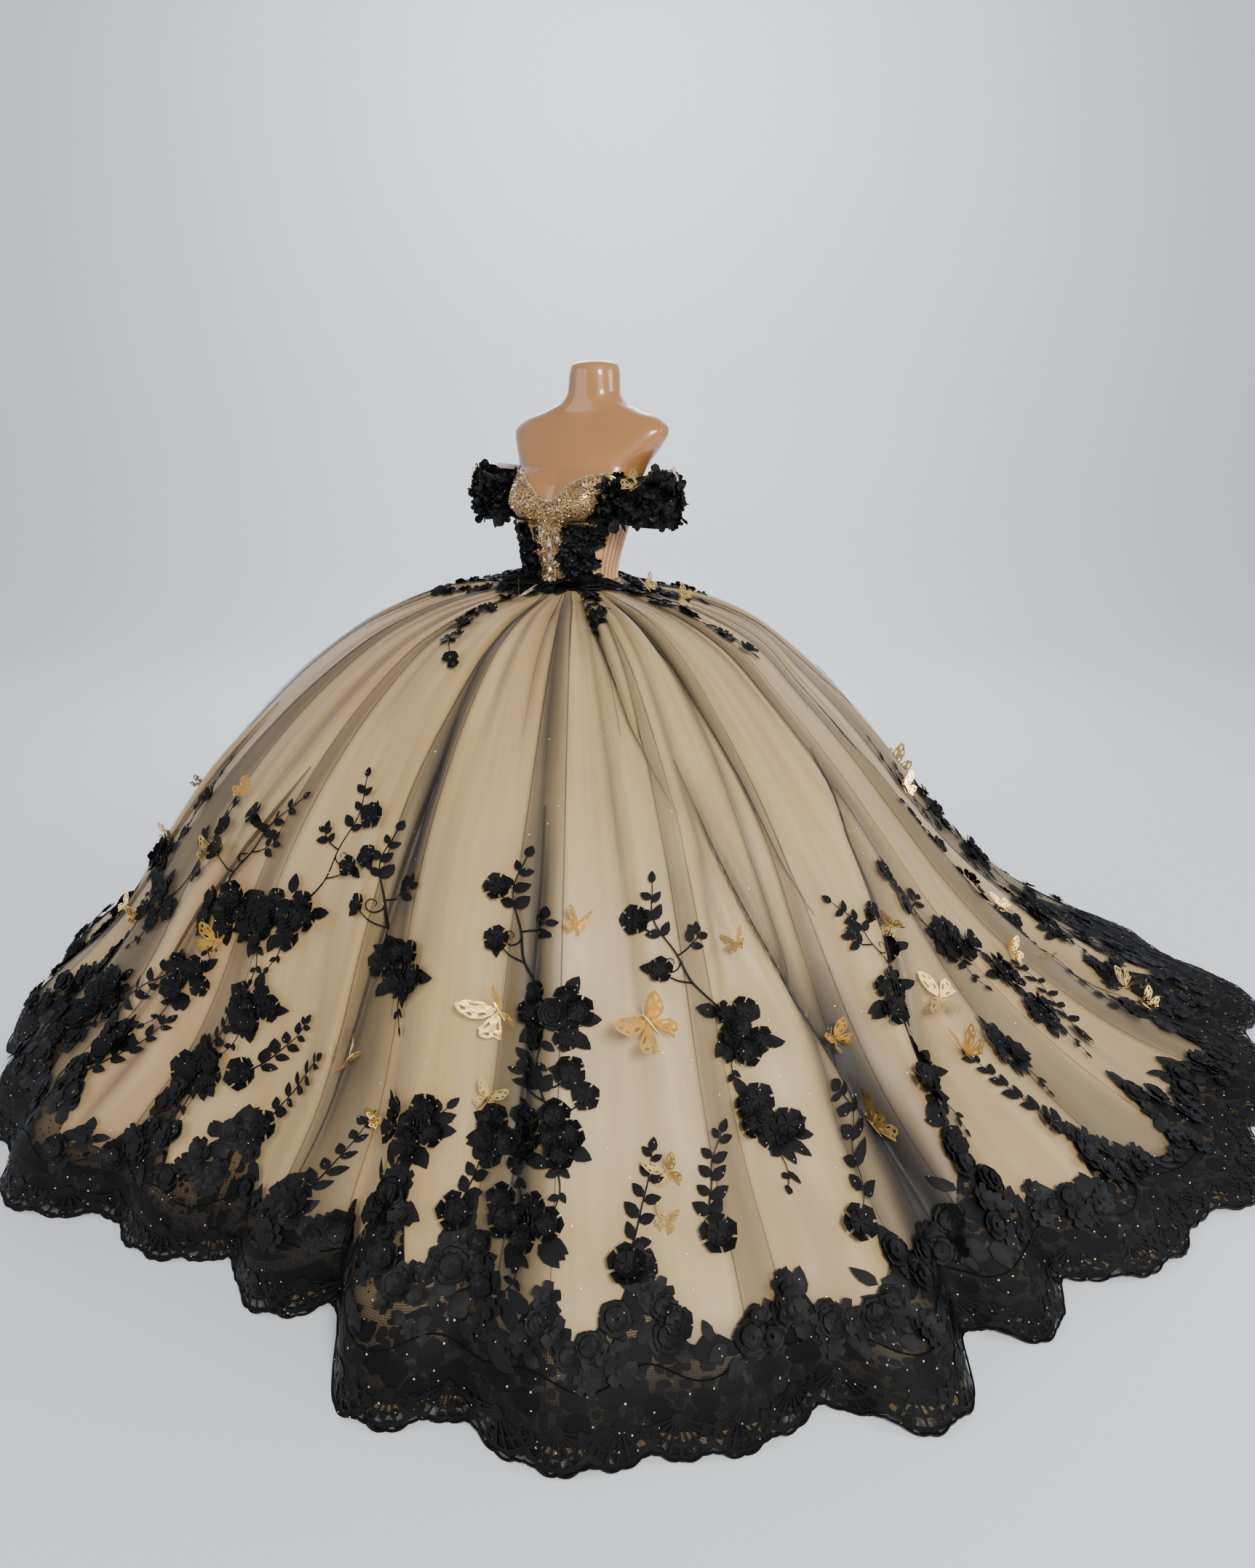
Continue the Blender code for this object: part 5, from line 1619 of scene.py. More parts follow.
SPRIGS = [
    # bearing and row of the foot, bearing and row of the tip
    (-33.0, 9.3, -36.0, 8.1), (-24.0, 9.0, -18.5, 7.9), (-20.0, 9.6, -15.0, 8.6),
    (-11.0, 9.2, -8.0, 8.2), (1.0, 9.6, 6.0, 8.4), (9.0, 10.0, 12.5, 9.1), (-3.0, 8.9, 2.0, 8.1),
    (18.0, 9.5, 22.0, 8.3), (24.0, 9.4, 26.5, 8.5), (37.0, 9.7, 40.0, 8.7), (44.0, 9.5, 46.0, 8.6),
    (55.0, 9.6, 58.0, 8.5), (66.0, 9.4, 69.0, 8.5), (78.0, 9.7, 75.0, 8.8), (95.0, 9.6, 98.0, 8.6),
    (104.0, 9.9, 107.0, 9.0), (120.0, 9.3, 124.0, 8.2), (136.0, 9.3, 133.0, 8.1),
    (157.0, 9.2, 160.0, 8.0), (171.0, 9.3, 168.0, 8.1), (-172.0, 9.2, -176.0, 8.0),
    (-158.0, 9.3, -155.0, 8.2), (-140.0, 9.2, -137.0, 8.0), (-128.0, 9.3, -131.0, 8.2),
    (-105.0, 9.3, -101.0, 8.1), (-93.0, 9.2, -96.0, 8.1), (-82.0, 9.3, -79.0, 8.1),
    (-62.0, 9.2, -59.0, 8.0), (-48.0, 9.3, -51.0, 8.2),
]


def flat_path(start, end, bow, count=16):
    """A bowed run between two (bearing, up) spots."""
    t = np.linspace(0, 1, count)
    start, end = np.array(start, float), np.array(end, float)
    path = start + (end - start) * t[:, None]
    reach = 1.0 if start[1] > 0.5 else 1.25
    length = np.hypot(np.radians(end[0] - start[0]) * reach, end[1] - start[1])
    side = np.degrees(bow * length * np.sin(math.pi * t) / reach)
    path[:, 0] += side + 0.25 * side * np.sin(3 * math.pi * t)
    return path


def curl(at, radius, hand, reach):
    """A tendril that winds in."""
    t = np.linspace(0, 1, 16)
    angle = hand * (t * 2 * math.pi * 1.1)
    r = radius * (1 - 0.75 * t)
    x = hand * (radius - r * np.cos(angle * hand))
    y = -r * np.sin(t * 2 * math.pi * 1.1)
    return np.stack([at[0] + np.degrees(x / reach), at[1] + y], -1)


def leaves_along(path, size, reach, rng, first=2):
    """Paired leaves along a path, smaller towards its tip, with one at the end."""
    places = []
    flat = np.stack([np.radians(path[:, 0]) * reach, path[:, 1]], -1)
    way = np.gradient(flat, axis=0)
    turn = np.degrees(np.arctan2(-way[:, 0], way[:, 1]))
    for k in range(first, len(path) - 1, 3):
        share = 1 - 0.4 * k / len(path)
        for hand in (-1, 1):
            spin = hand * rng.uniform(38, 62)
            places.append((path[k, 0], path[k, 1] + hand * 0.003, turn[k] + spin,
                           size * share * rng.uniform(0.85, 1.15)))
    places.append((path[-1, 0], path[-1, 1], turn[-1], size * 0.7))
    return places


def make_vines(finish, lace):
    rng = np.random.default_rng(14)
    strips, leaves, buds, roses, petals = [], [], [], [], []

    def spot(bearing, row):
        return np.array([bearing, float(up_at(np.array(bearing), row))])

    lower = [
        (middle + rng.uniform(-3, 3), rng.uniform(8.3, 9.3), None, None, 1,
            rng.uniform(0.055, 0.075))
        for middle, high in LACE_PEAKS if high > 0.27
    ]
    for bearing, row, tip_bearing, tip_row, hand, size in CLUSTERS + lower:
        base = spot(bearing, row)
        reach = float(np.hypot(*sampled(SKIRT, np.array(bearing), np.array(row))[:2]))
        roses.append((base[0], base[1], rng.uniform(0, 360), size * 0.66))
        ring = rng.integers(5, 7)
        for k in range(ring):
            angle = 2 * math.pi * (k + rng.uniform(-0.25, 0.25)) / ring
            far = size * rng.uniform(0.36, 0.56)
            petals.append((base[0] + np.degrees(far * 1.1 * np.cos(angle) / reach),
                           base[1] + far * np.sin(angle), rng.uniform(0, 360),
                               rng.uniform(0.038, 0.056)))
        for _ in range(5):
            spin = rng.uniform(0, 360)
            leaves.append((base[0] + np.degrees(-np.sin(np.radians(spin)) * size * 0.5 / reach),
                           base[1] + np.cos(np.radians(spin)) * size * 0.5, spin, 0.042))
        tail = flat_path(base, base + (rng.uniform(-2, 2), -0.11), 0.12 * hand, 10)
        strips.append(ribbon(tail, 0.0036, TRIM_OUT))
        leaves += leaves_along(tail, 0.026, reach, rng, 4)
        if tip_bearing is None:
            continue
        path = flat_path(base, spot(tip_bearing, tip_row), 0.16 * hand, 26)
        strips.append(ribbon(path, 0.0042, TRIM_OUT))
        leaves += leaves_along(path[14:], 0.034, reach * 0.9, rng)
        for k, side in ((7, hand), (12, -hand), (16, hand)):
            at = path[k]
            length = 0.055 if k < 12 else 0.045
            end = at + (np.degrees(side * length / reach), 0.035)
            branch = flat_path(at, end, 0.2 * side, 8)
            strips.append(ribbon(branch, 0.0034, TRIM_OUT))
            if k == 12:
                leaves += leaves_along(branch, 0.032, reach, rng, 3)
            else:
                buds.append((end[0], end[1], rng.uniform(0, 360), rng.uniform(0.038, 0.052)))
                leaves.append((end[0], end[1], rng.uniform(0, 360), 0.034))
        strips.append(ribbon(curl(path[11], 0.018, hand, reach), 0.0030, TRIM_OUT))
    for bearing, row, tip_bearing, tip_row in SPRIGS:
        path = flat_path(spot(bearing, row), spot(tip_bearing, tip_row), rng.uniform(-0.2, 0.2), 17)
        reach = 1.1
        strips.append(ribbon(path, 0.0036, TRIM_OUT))
        leaves += leaves_along(path, 0.036, reach, rng, 3)
        buds.append((path[0][0], path[0][1], rng.uniform(0, 360), 0.058))
    leaf_points = conformed(motif_leaf(), leaves, TRIM_OUT)
    points, faces = joined([*strips, leaf_points])
    kept_piece(mesh_piece("vines", points, faces, finish))
    places = np.array(buds + petals)
    points, normals, ups = surface_at(places, TRIM_OUT)
    kept_piece(scattered(
        "rose_buds", points, normals, ups, places[:, 2], places[:, 3],
        [motif_ruffle(0.5), motif_ruffle(0.9), motif_ruffle(0.3)], finish, 4,
    ))
    places = np.array(roses)
    points, normals, ups = surface_at(places, TRIM_OUT + 0.001)
    piece = scattered(
        "cloth_roses", points, normals, ups, places[:, 2], places[:, 3], [motif_rose()], lace, 5
    )
    kept_piece(piece, [f"rose_{k}" for k in range(1, 14)])


FOIL = [
    # bearing, row, turn, span in metres
    (-43.0, 7.05, -35, 0.055), (-19.5, 6.4, 15, 0.050), (-43.5, 8.35, 20, 0.045),
    (-13.5, 7.4, -10, 0.055), (9.5, 8.25, -25, 0.060), (26.5, 7.25, 25, 0.085),
    (41.0, 7.35, 35, 0.085), (26.0, 8.2, -20, 0.050), (41.0, 8.9, 10, 0.055),
    (40.5, 9.35, -30, 0.040), (61.0, 8.1, 25, 0.050), (60.0, 9.15, -20, 0.080),
    (74.5, 7.05, 30, 0.050), (75.5, 8.05, 60, 0.085), (74.5, 8.75, -25, 0.055),
    (111.5, 8.3, 25, 0.060), (98.5, 8.4, -30, 0.055), (103.5, 8.75, 15, 0.050),
    (111.0, 10.15, 40, 0.060), (109.0, 10.5, -20, 0.045), (3.0, 1.55, 25, 0.045),
    (102.0, 0.95, -20, 0.040), (101.0, 1.8, 35, 0.050), (-21.0, 5.6, 10, 0.040),
    (-100.0, 6.6, -25, 0.075), (-151.0, 7.6, 20, 0.080), (145.0, 7.5, -30, 0.080),
    (-62.0, 8.1, 30, 0.065), (-82.0, 8.2, -20, 0.060), (-118.0, 8.4, 25, 0.070),
    (-133.0, 6.5, -15, 0.055), (-158.0, 8.6, -35, 0.060), (178.0, 6.3, 20, 0.060),
    (168.0, 8.3, 35, 0.075), (134.0, 8.2, 15, 0.060), (120.0, 6.4, -30, 0.055),
    (154.0, 6.2, 10, 0.050), (-55.0, 6.6, -20, 0.050), (-35.0, 8.0, 15, 0.035),
    (14.5, 9.0, 20, 0.030), (34.0, 6.3, -20, 0.040), (52.0, 6.7, 25, 0.040),
]


def make_butterflies(finish):
    places = np.array([
        (bearing, float(up_at(np.array(bearing), row)), turn, span) for bearing, row, turn,
            span in FOIL
    ])
    points, normals, ups = surface_at(places, TRIM_OUT + 0.001)
    on_sleeves = [sleeve_at(np.array([turn]), np.array([share]), 0.012, side)
                  for turn, share, side in ((-58.0, 0.80, 1), (-8.0, 0.78, -1), (20.0, 0.75, -1))]
    points, normals, ups = (
        np.concatenate([first, *more]) for first, *more in zip((points, normals, ups), *on_sleeves)
    )
    places = np.concatenate([places, [(0, 0, -15, 0.060), (0, 0, 20, 0.050), (0, 0, -30, 0.045)]])
    high = np.where(places[:, 1] > 1.4, 0.014, 0.002)[: len(FOIL)]
    points[: len(FOIL)] += normals[: len(FOIL)] * high[:, None]
    tilt = np.random.default_rng(19).normal(0, 0.38, normals.shape)
    normals = normals / np.linalg.norm(normals, axis=1, keepdims=True) + tilt
    wings = [motif_butterfly(lift) for lift in (22.0, 40.0, 58.0)]
    piece = scattered(
        "foil_butterflies", points, normals, ups, places[:, 2], places[:, 3], wings, finish, 6
    )
    kept_piece(piece, [f"butterfly_{k}" for k in range(1, 12)])


# Applique round the waist: arms of flowers and leaves that reach down

WAIST_ARMS = [
    # bearing and row of the ends, how many flowers
    (-56.0, 2.1, -16.0, 0.55, 9), (-16.0, 0.5, 3.5, 3.2, 8), (41.0, 2.4, 50.0, 0.5, 7),
    (62.0, 0.5, 82.0, 0.8, 5), (82.0, 0.8, 89.0, 3.2, 7), (-92.0, 0.5, -98.0, 2.6, 7),
    (-70.0, 0.6, -56.0, 2.1, 5), (-150.0, 0.5, -146.0, 2.6, 7), (150.0, 0.5, 152.0, 2.6, 7),
    (104.0, 0.6, 120.0, 1.6, 5), (178.0, 0.5, 182.0, 1.8, 5), (-124.0, 0.5, -122.0, 1.6, 5),
]


def make_waist_applique(finish):
    rng = np.random.default_rng(31)
    strips, leaves, flowers = [], [], []
    for b0, r0, b1, r1, count in WAIST_ARMS:
        start = np.array([b0, float(up_at(np.array(b0), r0))])
        end = np.array([b1, float(up_at(np.array(b1), r1))])
        t = np.linspace(0, 1, 20)
        path = start + (end - start) * t[:, None]
        path[:, 0] += (b1 - b0) * 0.12 * np.sin(2 * math.pi * t)
        strips.append(ribbon(path, 0.004, TRIM_OUT))
        reach = float(np.hypot(*sampled(SKIRT, np.array(b0), np.array((r0 + r1) / 2))[:2]))
        leaves += leaves_along(path, 0.030, reach, rng, 1)
        for k in range(count):
            at = path[int(k * 19 / max(count - 1, 1))]
            for _ in range(2):
                flowers.append((at[0] + rng.uniform(-2.6, 2.6), at[1] + rng.uniform(-0.018, 0.018),
                                rng.uniform(0, 360), rng.uniform(0.022, 0.040)))
    for k in range(300):
        bearing = rng.uniform(-180, 180)
        side = 1 - 0.75 * float(around(np.array(bearing), 22, 14))
        row = 0.10 + abs(rng.normal(0, 0.50)) * side
        up = float(up_at(np.array(bearing), row))
        if k % 3:
            flowers.append((bearing, up, rng.uniform(0, 360), rng.uniform(0.026, 0.048)))
        else:
            leaves.append((bearing, up, rng.uniform(100, 260), rng.uniform(0.026, 0.044)))
    points, faces = joined([*strips, conformed(motif_leaf(), leaves, TRIM_OUT)])
    vine = kept_piece(mesh_piece("waist_vine", points, faces, finish))
    places = np.array(flowers)
    points, normals, ups = surface_at(places, TRIM_OUT)
    piece = scattered(
        "waist_applique", points, normals, ups, places[:, 2], places[:, 3],
        [motif_flower(5, 0.5), motif_rose(SMALL_ROSE_RINGS), motif_flower(6, 0.3)], finish, 7,
    )
    kept_piece(piece, ["waist_lace_1", "waist_lace_2"])
    return vine


# The bodice

FINE_OUT = BODICE_WALL


def bodice_sheet(low_bearing, high_bearing, columns, rows, part, out=0.0, pleats=0, depth=0.0):
    """Outer points of a panel: part says below the cups' seam, above it, or all of it."""
    bearings = np.linspace(low_bearing, high_bearing, columns)
    waist = form_point(bearings, np.full(columns, SEAM_HEIGHT))
    bottom = seam_height(np.degrees(np.arctan2(waist[:, 0], -waist[:, 1])))
    top = edge_height(bearings)
    low = np.full(columns, CUP_SEAM_HEIGHT) if part == "upper" else bottom
    high = np.full(columns, CUP_SEAM_HEIGHT) if part == "lower" else top
    share = np.linspace(1, 0, rows)
    height = low[:, None] + (high - low)[:, None] * share
    bearing = np.repeat(bearings[:, None], rows, axis=1)
    wave = 0.5 - 0.5 * np.cos(np.linspace(0, 2 * math.pi * pleats, columns)) if pleats else 0
    rise = out + depth * np.broadcast_to(wave, (columns,))[:, None] + 0 * height
    return bodice_point(bearing, height, rise), bearing, height


def bodice_piece(name, low, high, columns, rows, part, finish, nodes,
                 pleats=0, depth=0.0, out=FINE_OUT):
    if low > high:
        low, high = high, low
    outer, bearing, _ = bodice_sheet(low, high, columns, rows, part, out, pleats, depth)
    inner, _, _ = bodice_sheet(low, high, columns, rows, part, out - 0.0012, pleats, depth)
    # Painted shade in the pleats' grooves, kept as the fold value.
    groove_shade = 0.5 + 0.5 * np.cos(2 * math.pi * pleats * (bearing - low) / (high - low))
    values = {"fold": groove_shade ** 2 if pleats else 0 * bearing}
    piece = shell_piece(name, outer, inner, columns, rows, finish, values=values)
    return cloth_piece(piece, outer, False, nodes)


def bodice_spots(rng, count, low, high, bottom, top, out):
    """Random spots on the bodice with their directions."""
    bearing = rng.uniform(low, high, count)
    share = rng.uniform(bottom, top, count)
    return bodice_at(bearing, share, out)


def bodice_at(bearing, share, out):
    """Points, outward and up directions; share 0 is the waist, 1 the top edge."""
    waist = form_point(bearing, np.full(len(bearing), SEAM_HEIGHT))
    bottom = seam_height(np.degrees(np.arctan2(waist[:, 0], -waist[:, 1])))
    height = bottom + (edge_height(bearing) - bottom) * share
    out = np.broadcast_to(out, bearing.shape)
    points = bodice_point(bearing, height, FINE_OUT + out)
    beside = bodice_point(bearing + 1.0, height, FINE_OUT + out) - points
    above = bodice_point(bearing, height + 0.004, FINE_OUT + out) - points
    normals = np.cross(beside, above)
    return points, normals, above


def merged(groups):
    return (np.concatenate(parts) for parts in zip(*groups))


def cup_share(bearing):
    """Where the cups' lower seam lies between the waist and the top edge."""
    waist = form_point(bearing, np.full(len(bearing), SEAM_HEIGHT))
    bottom = seam_height(np.degrees(np.arctan2(waist[:, 0], -waist[:, 1])))
    return (CUP_SEAM_HEIGHT - bottom) / (edge_height(bearing) - bottom)


DROP_STONES = [
    # bearing, share of the panel's height, turn, size
    (0.0, 0.50, 0, 0.026), (0.0, 0.36, 180, 0.020), (-6.0, 0.30, 30, 0.016),
    (6.0, 0.28, -30, 0.016), (0.0, 0.20, 0, 0.020), (-9.0, 0.55, 25, 0.018),
    (9.0, 0.52, -25, 0.018), (30.0, 0.90, 80, 0.020), (-30.0, 0.88, -80, 0.018),
    (12.0, 0.80, 40, 0.014), (-14.0, 0.80, -40, 0.014), (0.0, 0.10, 180, 0.016),
]


def make_bodice(finishes):
    beading, gold, crystal, black, nude, blush = finishes
    bodice_piece("bodice_centre_ground", -CENTRE_HALF, CENTRE_HALF, 40, 40, "lower", beading,
                 ["bodice_centre"])
    for side, word in ((1, "left"), (-1, "right")):
        bodice_piece(f"cup_ground_{word}", 0, side * CUP_SIDE, 50, 40, "upper", beading,
                     [f"bodice_cup_{word}"])
        bodice_piece(f"side_front_ground_{word}", side * CENTRE_HALF, side * CUP_SIDE, 30, 30,
                     "lower", nude, [f"bodice_side_front_{word}"])
        bodice_piece(f"wing_ground_{word}", side * CUP_SIDE, side * SIDE_FRONT_END, 16, 50, "all",
                     nude, [f"bodice_wing_{word}"])
        bodice_piece(f"side_mesh_{word}", side * SIDE_FRONT_END, side * SIDE_END, 90, 40, "all",
                     nude, [f"bodice_side_{word}"], pleats=5, depth=0.0030)
        bodice_piece(f"pleated_back_{word}", side * SIDE_END, side * 180, 150, 40, "all", blush,
                     [f"bodice_back_{word}"], pleats=12, depth=0.0030)
    rng = np.random.default_rng(41)
    # Gold beads over the cups and the centre
    groups = [
        bodice_spots(rng, 500, -15, 15, 0.02, 0.72, 0.0004),
        bodice_spots(rng, 800, -CUP_SIDE, CUP_SIDE, 0.66, 0.99, 0.0004),
    ]
    points, normals, ups = merged(groups)
    piece = scattered(
        "gold_beads", points, normals, ups, rng.uniform(0, 360, len(points)),
        rng.uniform(0.0030, 0.0062, len(points)),
        [motif_bead(0.5), stretched(motif_bead(0.6), 2.0)], gold, 12,
    )
    kept_piece(piece)
    # Pale crystals, thicker along the neckline, and large drop stones
    along = np.linspace(-CUP_SIDE, CUP_SIDE, 90)
    groups = [
        bodice_spots(rng, 34, -10, 10, 0.05, 0.7, 0.0008),
        bodice_spots(rng, 46, -CUP_SIDE, CUP_SIDE, 0.68, 0.97, 0.0008),
        bodice_at(along, np.full(90, 0.988), 0.0012),
    ]
    points, normals, ups = merged(groups)
    piece = scattered(
        "pale_crystals", points, normals, ups, rng.uniform(0, 360, len(points)),
        rng.uniform(0.0035, 0.0068, len(points)), [motif_bead(0.6)], crystal, 13,
    )
    kept_piece(piece)
    stones = np.array(DROP_STONES)
    points, normals, ups = bodice_at(stones[:, 0], stones[:, 1], 0.001)
    piece = scattered(
        "drop_stones", points, normals, ups, stones[:, 2], stones[:, 3], [motif_drop()], crystal, 14
    )
    kept_piece(piece)
    # Gold leaf tips that scallop the edge of the beading
    tips = []
    for bearing in np.linspace(-50, 50, 34):
        share = float(cup_share(np.array([bearing]))[0])
        if abs(bearing) < 15:
            continue
        tips.append((bearing, share + 0.02, 180 - bearing * 0.9 + rng.uniform(-12, 12)))
    for side in (-1, 1):
        for share in np.linspace(0.72, 0.97, 6):
            tips.append((side * rng.uniform(45, 52), share, -side * rng.uniform(80, 130)))
    tips = np.array(tips)
    points, normals, ups = bodice_at(tips[:, 0], tips[:, 1], 0.0070)
    piece = scattered(
        "beaded_leaf_tips", points, normals, ups, tips[:, 2], rng.uniform(0.018, 0.032, len(tips)),
        [motif_leaf()], gold, 15,
    )
    kept_piece(piece)
    make_bodice_flowers(black, rng)


def stretched(motif, times):
    points, faces = motif
    points = points.copy()
    points[:, 1] *= times
    return points, faces


def make_bodice_flowers(finish, rng):
    """Black flowers and leaves massed on either side of the beading."""
    groups = []
    for side in (-1, 1):
        share = np.concatenate([rng.uniform(0, 0.56, 120), np.full(20, 0.01)])
        inner = np.minimum(5 + 36 * share, 15) + 9 * np.clip(share - 0.45, 0, 1)
        bearing = side * (inner + rng.uniform(0, 1, len(share)) ** 0.8 * (52 - 26 * share))
        groups.append(bodice_at(bearing, share, 0.001))
        share = rng.uniform(0.48, 0.84, 46)
        groups.append(bodice_at(side * rng.uniform(34 + 12 * share, 66), share, 0.001))
        share = rng.uniform(0.72, 1.0, 34)
        groups.append(bodice_at(side * rng.uniform(49, 70, 34), share, 0.001))
    points, normals, ups = merged(groups)
    piece = scattered(
        "bodice_flowers", points, normals, ups, rng.uniform(0, 360, len(points)),
        rng.uniform(0.017, 0.034, len(points)),
        [motif_flower(5, 0.7), motif_petal(), stretched(motif_leaf(), 1.1)], finish, 16,
    )
    kept_piece(piece)


# Sleeves


def sleeve_at(turn, share, out, side):
    points = sleeve_point(turn, share, out, side)
    beside = sleeve_point(turn + 1.0, share, out, side) - points
    above = sleeve_point(turn, share + 0.02, out, side) - points
    return points, np.cross(beside, above) * side, above


def make_sleeves(black, ground, pale):
    for side, word in ((1, "left"), (-1, "right")):
        columns, rows = 90, 24
        turn, share = np.meshgrid(
            np.linspace(-SLEEVE_TURN, SLEEVE_TURN, columns), np.linspace(1, 0, rows), indexing="ij"
        )
        ripple = 0.0012 * np.sin(turn * 0.9 + 5 * share) + 0.0012 * np.sin(turn * 2.3 - 9 * share)
        outer = sleeve_point(turn, share, 0.0028 + ripple, side)
        inner = sleeve_point(turn, share, 0.0012 + ripple, side)
        piece = shell_piece(
            f"sleeve_ground_{word}", outer, inner, columns, rows, ground, flip=side < 0
        )
        cloth_piece(piece, outer, False,
            [f"sleeve_{word}"])
        rng = np.random.default_rng(51)
        count = 420
        turns = rng.uniform(-99, 92, count)
        shares = np.clip(rng.normal(0.50, 0.27, count), 0.10, 0.94)
        kept = (turns < 22) | (shares < 0.72 - 0.004 * (turns - 22))
        turns, shares = turns[kept], shares[kept]
        points, normals, ups = sleeve_at(turns, shares, 0.0035, side)
        tilt = rng.normal(0, 0.42, points.shape)
        piece = scattered(
            f"sleeve_petals_{word}", points,
                normals / np.linalg.norm(normals, axis=1, keepdims=True) + tilt,
            ups, rng.uniform(0, 360, len(turns)),
                rng.choice([0.014, 0.019, 0.025, 0.032], len(turns)),
            [motif_petal(), motif_flower(5, 0.9), stretched(motif_leaf(), 1.2)], black, 17,
        )
        kept_piece(piece)
        columns, rows = 60, 20
        turn, share = np.meshgrid(
            np.linspace(14, 101, columns), np.linspace(1.10, 0.10, rows), indexing="ij"
        )
        puff = 0.006 + 0.0022 * np.sin(turn * 0.8) + 0.010 * np.sin(math.pi * np.clip(share, 0,
            1)) * np.clip((turn - 14) / 25, 0, 1)
        outer = sleeve_point(turn, share, puff, side)
        inner = sleeve_point(turn, share, puff - 0.0008, side)
        piece = shell_piece(f"sleeve_tulle_{word}", outer, inner, columns, rows, pale,
            flip=side < 0)
        cloth_piece(piece, outer, False)


# The dress form


def make_form_shell(finish):
    columns = 96
    bearings = np.arange(columns) * 360 / columns
    heights = column(FORM_SECTIONS, 0)
    fine = np.unique(np.concatenate([np.linspace(heights[0], heights[-1], 150), heights]))[::-1]
    sections = [smooth_curve(heights, column(FORM_SECTIONS, k), fine) for k in (1, 2, 3, 4)]
    straight = [np.interp(fine, heights, column(FORM_SECTIONS, k)) for k in (1, 2, 3, 4)]
    # Above the bodice the form is smooth; below it keeps the straight sections of the cloth
    share = np.clip((fine - 1.30) / 0.03, 0, 1)
    half_width, half_depth, backward, sideways = (
        straight[k] + (sections[k] - straight[k]) * share for k in range(4)
    )
    across, along = turned(bearings)
    power = 2 / FORM_ROUNDNESS
    x = half_width * (np.sign(across) * np.abs(across) ** power)[:, None]
    y = half_depth * (np.sign(along) * np.abs(along) ** power)[:, None]
    x = np.clip(x, -SHOULDER_CUT, SHOULDER_CUT)
    z = np.broadcast_to(fine, x.shape)
    bearing = (np.broadcast_to(bearings[:, None], x.shape) + 180) % 360 - 180
    points = np.stack([x + sideways, y + backward, z], -1)
    bust = bodice_point(bearing, z, -0.0016 + 0 * z) - form_point(bearing, z)
    points = points + bust * np.clip((z - CUP_SEAM_HEIGHT) / 0.01, 0, 1)[..., None]
    rows = len(fine)
    faces = quads(columns, rows, True).tolist()
    faces.append([c * rows for c in range(columns)])
    faces.append([c * rows + rows - 1 for c in reversed(range(columns))])
    piece = mesh_piece("form_shell", points, faces, finish)
    for polygon in piece.data.polygons:
        if len(polygon.vertices) > 4:
            polygon.use_smooth = False
    kept_piece(piece, ["form_torso"])


# Light, floor and camera


def add_area(name, place, aim, size, power, tint=(1, 1, 1)):
    light = bpy.data.lights.new(name, "AREA")
    light.shape = "RECTANGLE"
    light.size, light.size_y = size
    light.energy = power
    light.color = tint
    lamp = bpy.data.objects.new(name, light)
    lamp.location = place
    lamp.rotation_euler = (Vector(aim) - Vector(place)).to_track_quat("-Z", "Y").to_euler()
    bpy.context.scene.collection.objects.link(lamp)


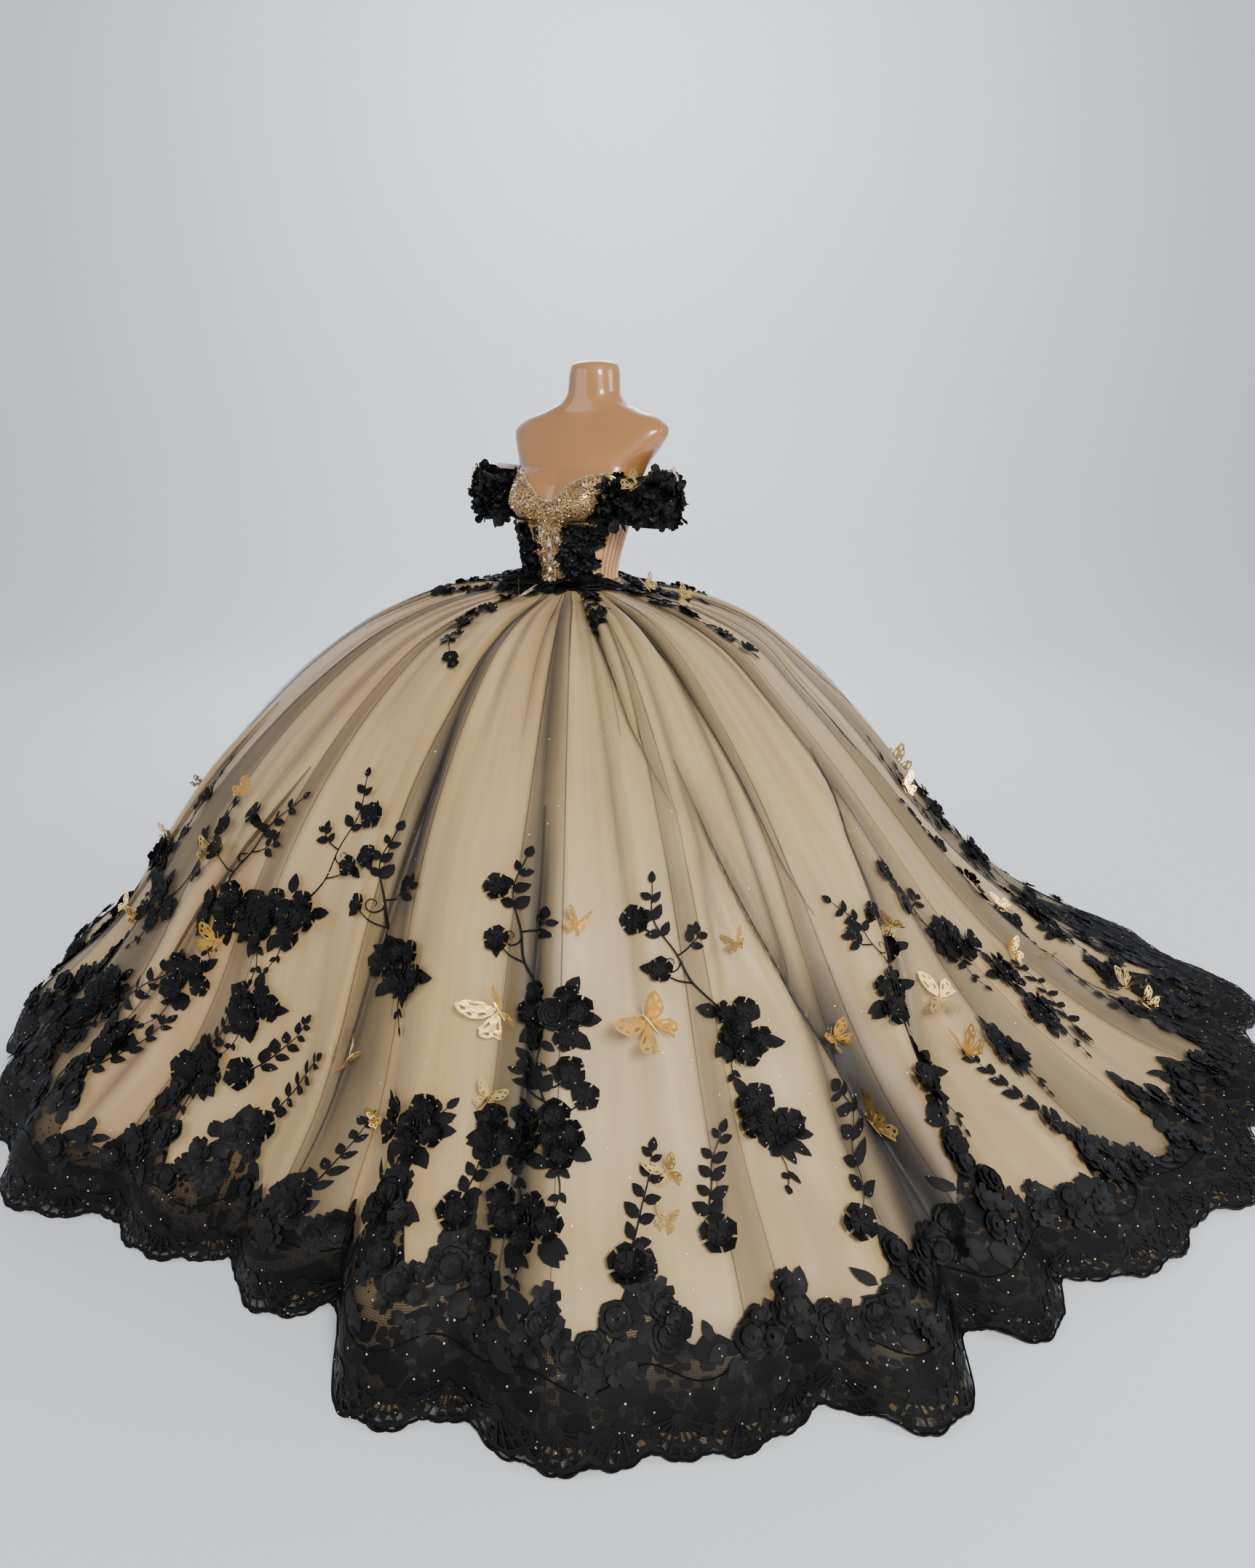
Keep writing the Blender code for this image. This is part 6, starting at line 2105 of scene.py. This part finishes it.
def make_room():
    made, tree, shader = finish_of("pale_floor", Roughness=0.55)
    patch = grouped(tree, WEAVE, Threads=3.0, Patch=0.5)["Unevenness"]
    coloured(tree, shader, patch, (0.84, 0.87, 0.92), (0.90, 0.93, 0.97))
    bend, reach = 12, 9.0
    angle = math.radians(-31)
    profile = [(-6.0, 0.0)] + [
        (4.2 + 1.8 * math.sin(k / bend * math.pi / 2), 1.8 - 1.8 * math.cos(k / bend * math.pi / 2))
        for k in range(bend + 1)
    ] + [(6.0, 7.0)]
    points = []
    for across in (-reach, reach):
        for along, z in profile:
            points.append((
                across * math.cos(angle) + along * math.sin(angle),
                -across * math.sin(angle) + along * math.cos(angle), z - 0.0005,
            ))
    count = len(profile)
    faces = [(k, count + k, count + k + 1, k + 1) for k in range(count - 1)]
    floor = mesh_piece("floor", points, faces, made)
    world = bpy.data.worlds.new("room")
    world.use_nodes = True
    world.node_tree.nodes["Background"].inputs["Color"].default_value = (0.80, 0.86, 0.95, 1)
    world.node_tree.nodes["Background"].inputs["Strength"].default_value = 0.42
    bpy.context.scene.world = world
    add_area("key", (3.4, -3.0, 3.6), (0, 0, 0.7), (1.4, 1.4), 230, (1.0, 0.97, 0.92))
    add_area("fill", (-2.6, -3.4, 2.4), (0, 0, 0.6), (3.0, 3.0), 45, (0.98, 0.98, 1.0))
    add_area("rim", (-2.2, 3.0, 3.2), (0, 0, 0.9), (2.0, 2.0), 50)
    add_area("side", (4.6, 1.6, 2.6), (0.4, 0, 0.8), (2.0, 2.0), 70)
    add_area("backdrop", (-1.3, 2.2, 4.6), (-3.1, 5.2, 1.6), (4.0, 1.5), 190, (0.93, 0.97, 1.0))


CAMERA_PLACE = (1.3637, -2.0132, 1.390)
CAMERA_TILT, CAMERA_TURN = 70.5, 31.0
LENS_MM, SENSOR_MM = 23.28, 36


def make_camera():
    lens = bpy.data.cameras.new("photo_view")
    lens.lens = LENS_MM
    lens.sensor_width = SENSOR_MM
    camera = bpy.data.objects.new("photo_view", lens)
    camera.location = CAMERA_PLACE
    camera.rotation_euler = (math.radians(CAMERA_TILT), 0, math.radians(CAMERA_TURN))
    bpy.context.scene.collection.objects.link(camera)
    bpy.context.scene.camera = camera


def paint_node(name, finish):
    """Gives a solid that stays on show its finish."""
    shown = frame["nodes"][name]
    shown.data.materials.clear()
    shown.data.materials.append(finish)


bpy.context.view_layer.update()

make_room()
make_camera()
shell = shell_finish()
black = black_finish("black_petals")
lace = black_finish("black_lace_cord", 0.10, 0.5, 150.0, 0.16)
foil = foil_finish()
beading = beading_finish()
gold = bead_finish("gold_glass_beads", (0.36, 0.21, 0.09), (0.86, 0.66, 0.38), 0.26)
crystal = bead_finish("pale_crystal", (0.62, 0.50, 0.34), (0.95, 0.88, 0.76), 0.08, 0.7)
nude = cloth_finish("skin_tone_mesh", (0.62, 0.29, 0.11), (0.84, 0.48, 0.22), 0.42)
blush = cloth_finish("pleated_blush", (0.80, 0.50, 0.30), (0.94, 0.72, 0.50), 0.36)
pale = cloth_finish("pale_tulle", (0.62, 0.50, 0.47), (0.80, 0.68, 0.64), 0.55, 0.3, 0.6)
make_form_shell(shell)
make_gown(satin_finish())
make_tulle(tulle_finish())
make_pleat_lines(line_finish())
make_hem_net(lace_net_finish())
make_hem_fans(lace)
make_border_flowers(black)
make_vines(lace, black)
make_butterflies(foil)
make_waist_applique(black)
make_bodice((beading, gold, crystal, black, nude, blush))
make_sleeves(black, black_finish("sleeve_ground", 0.0, 0.6), pale)
paint_node("form_pole", metal_finish())
paint_node("form_base", bpy.data.materials["painted_stand"])
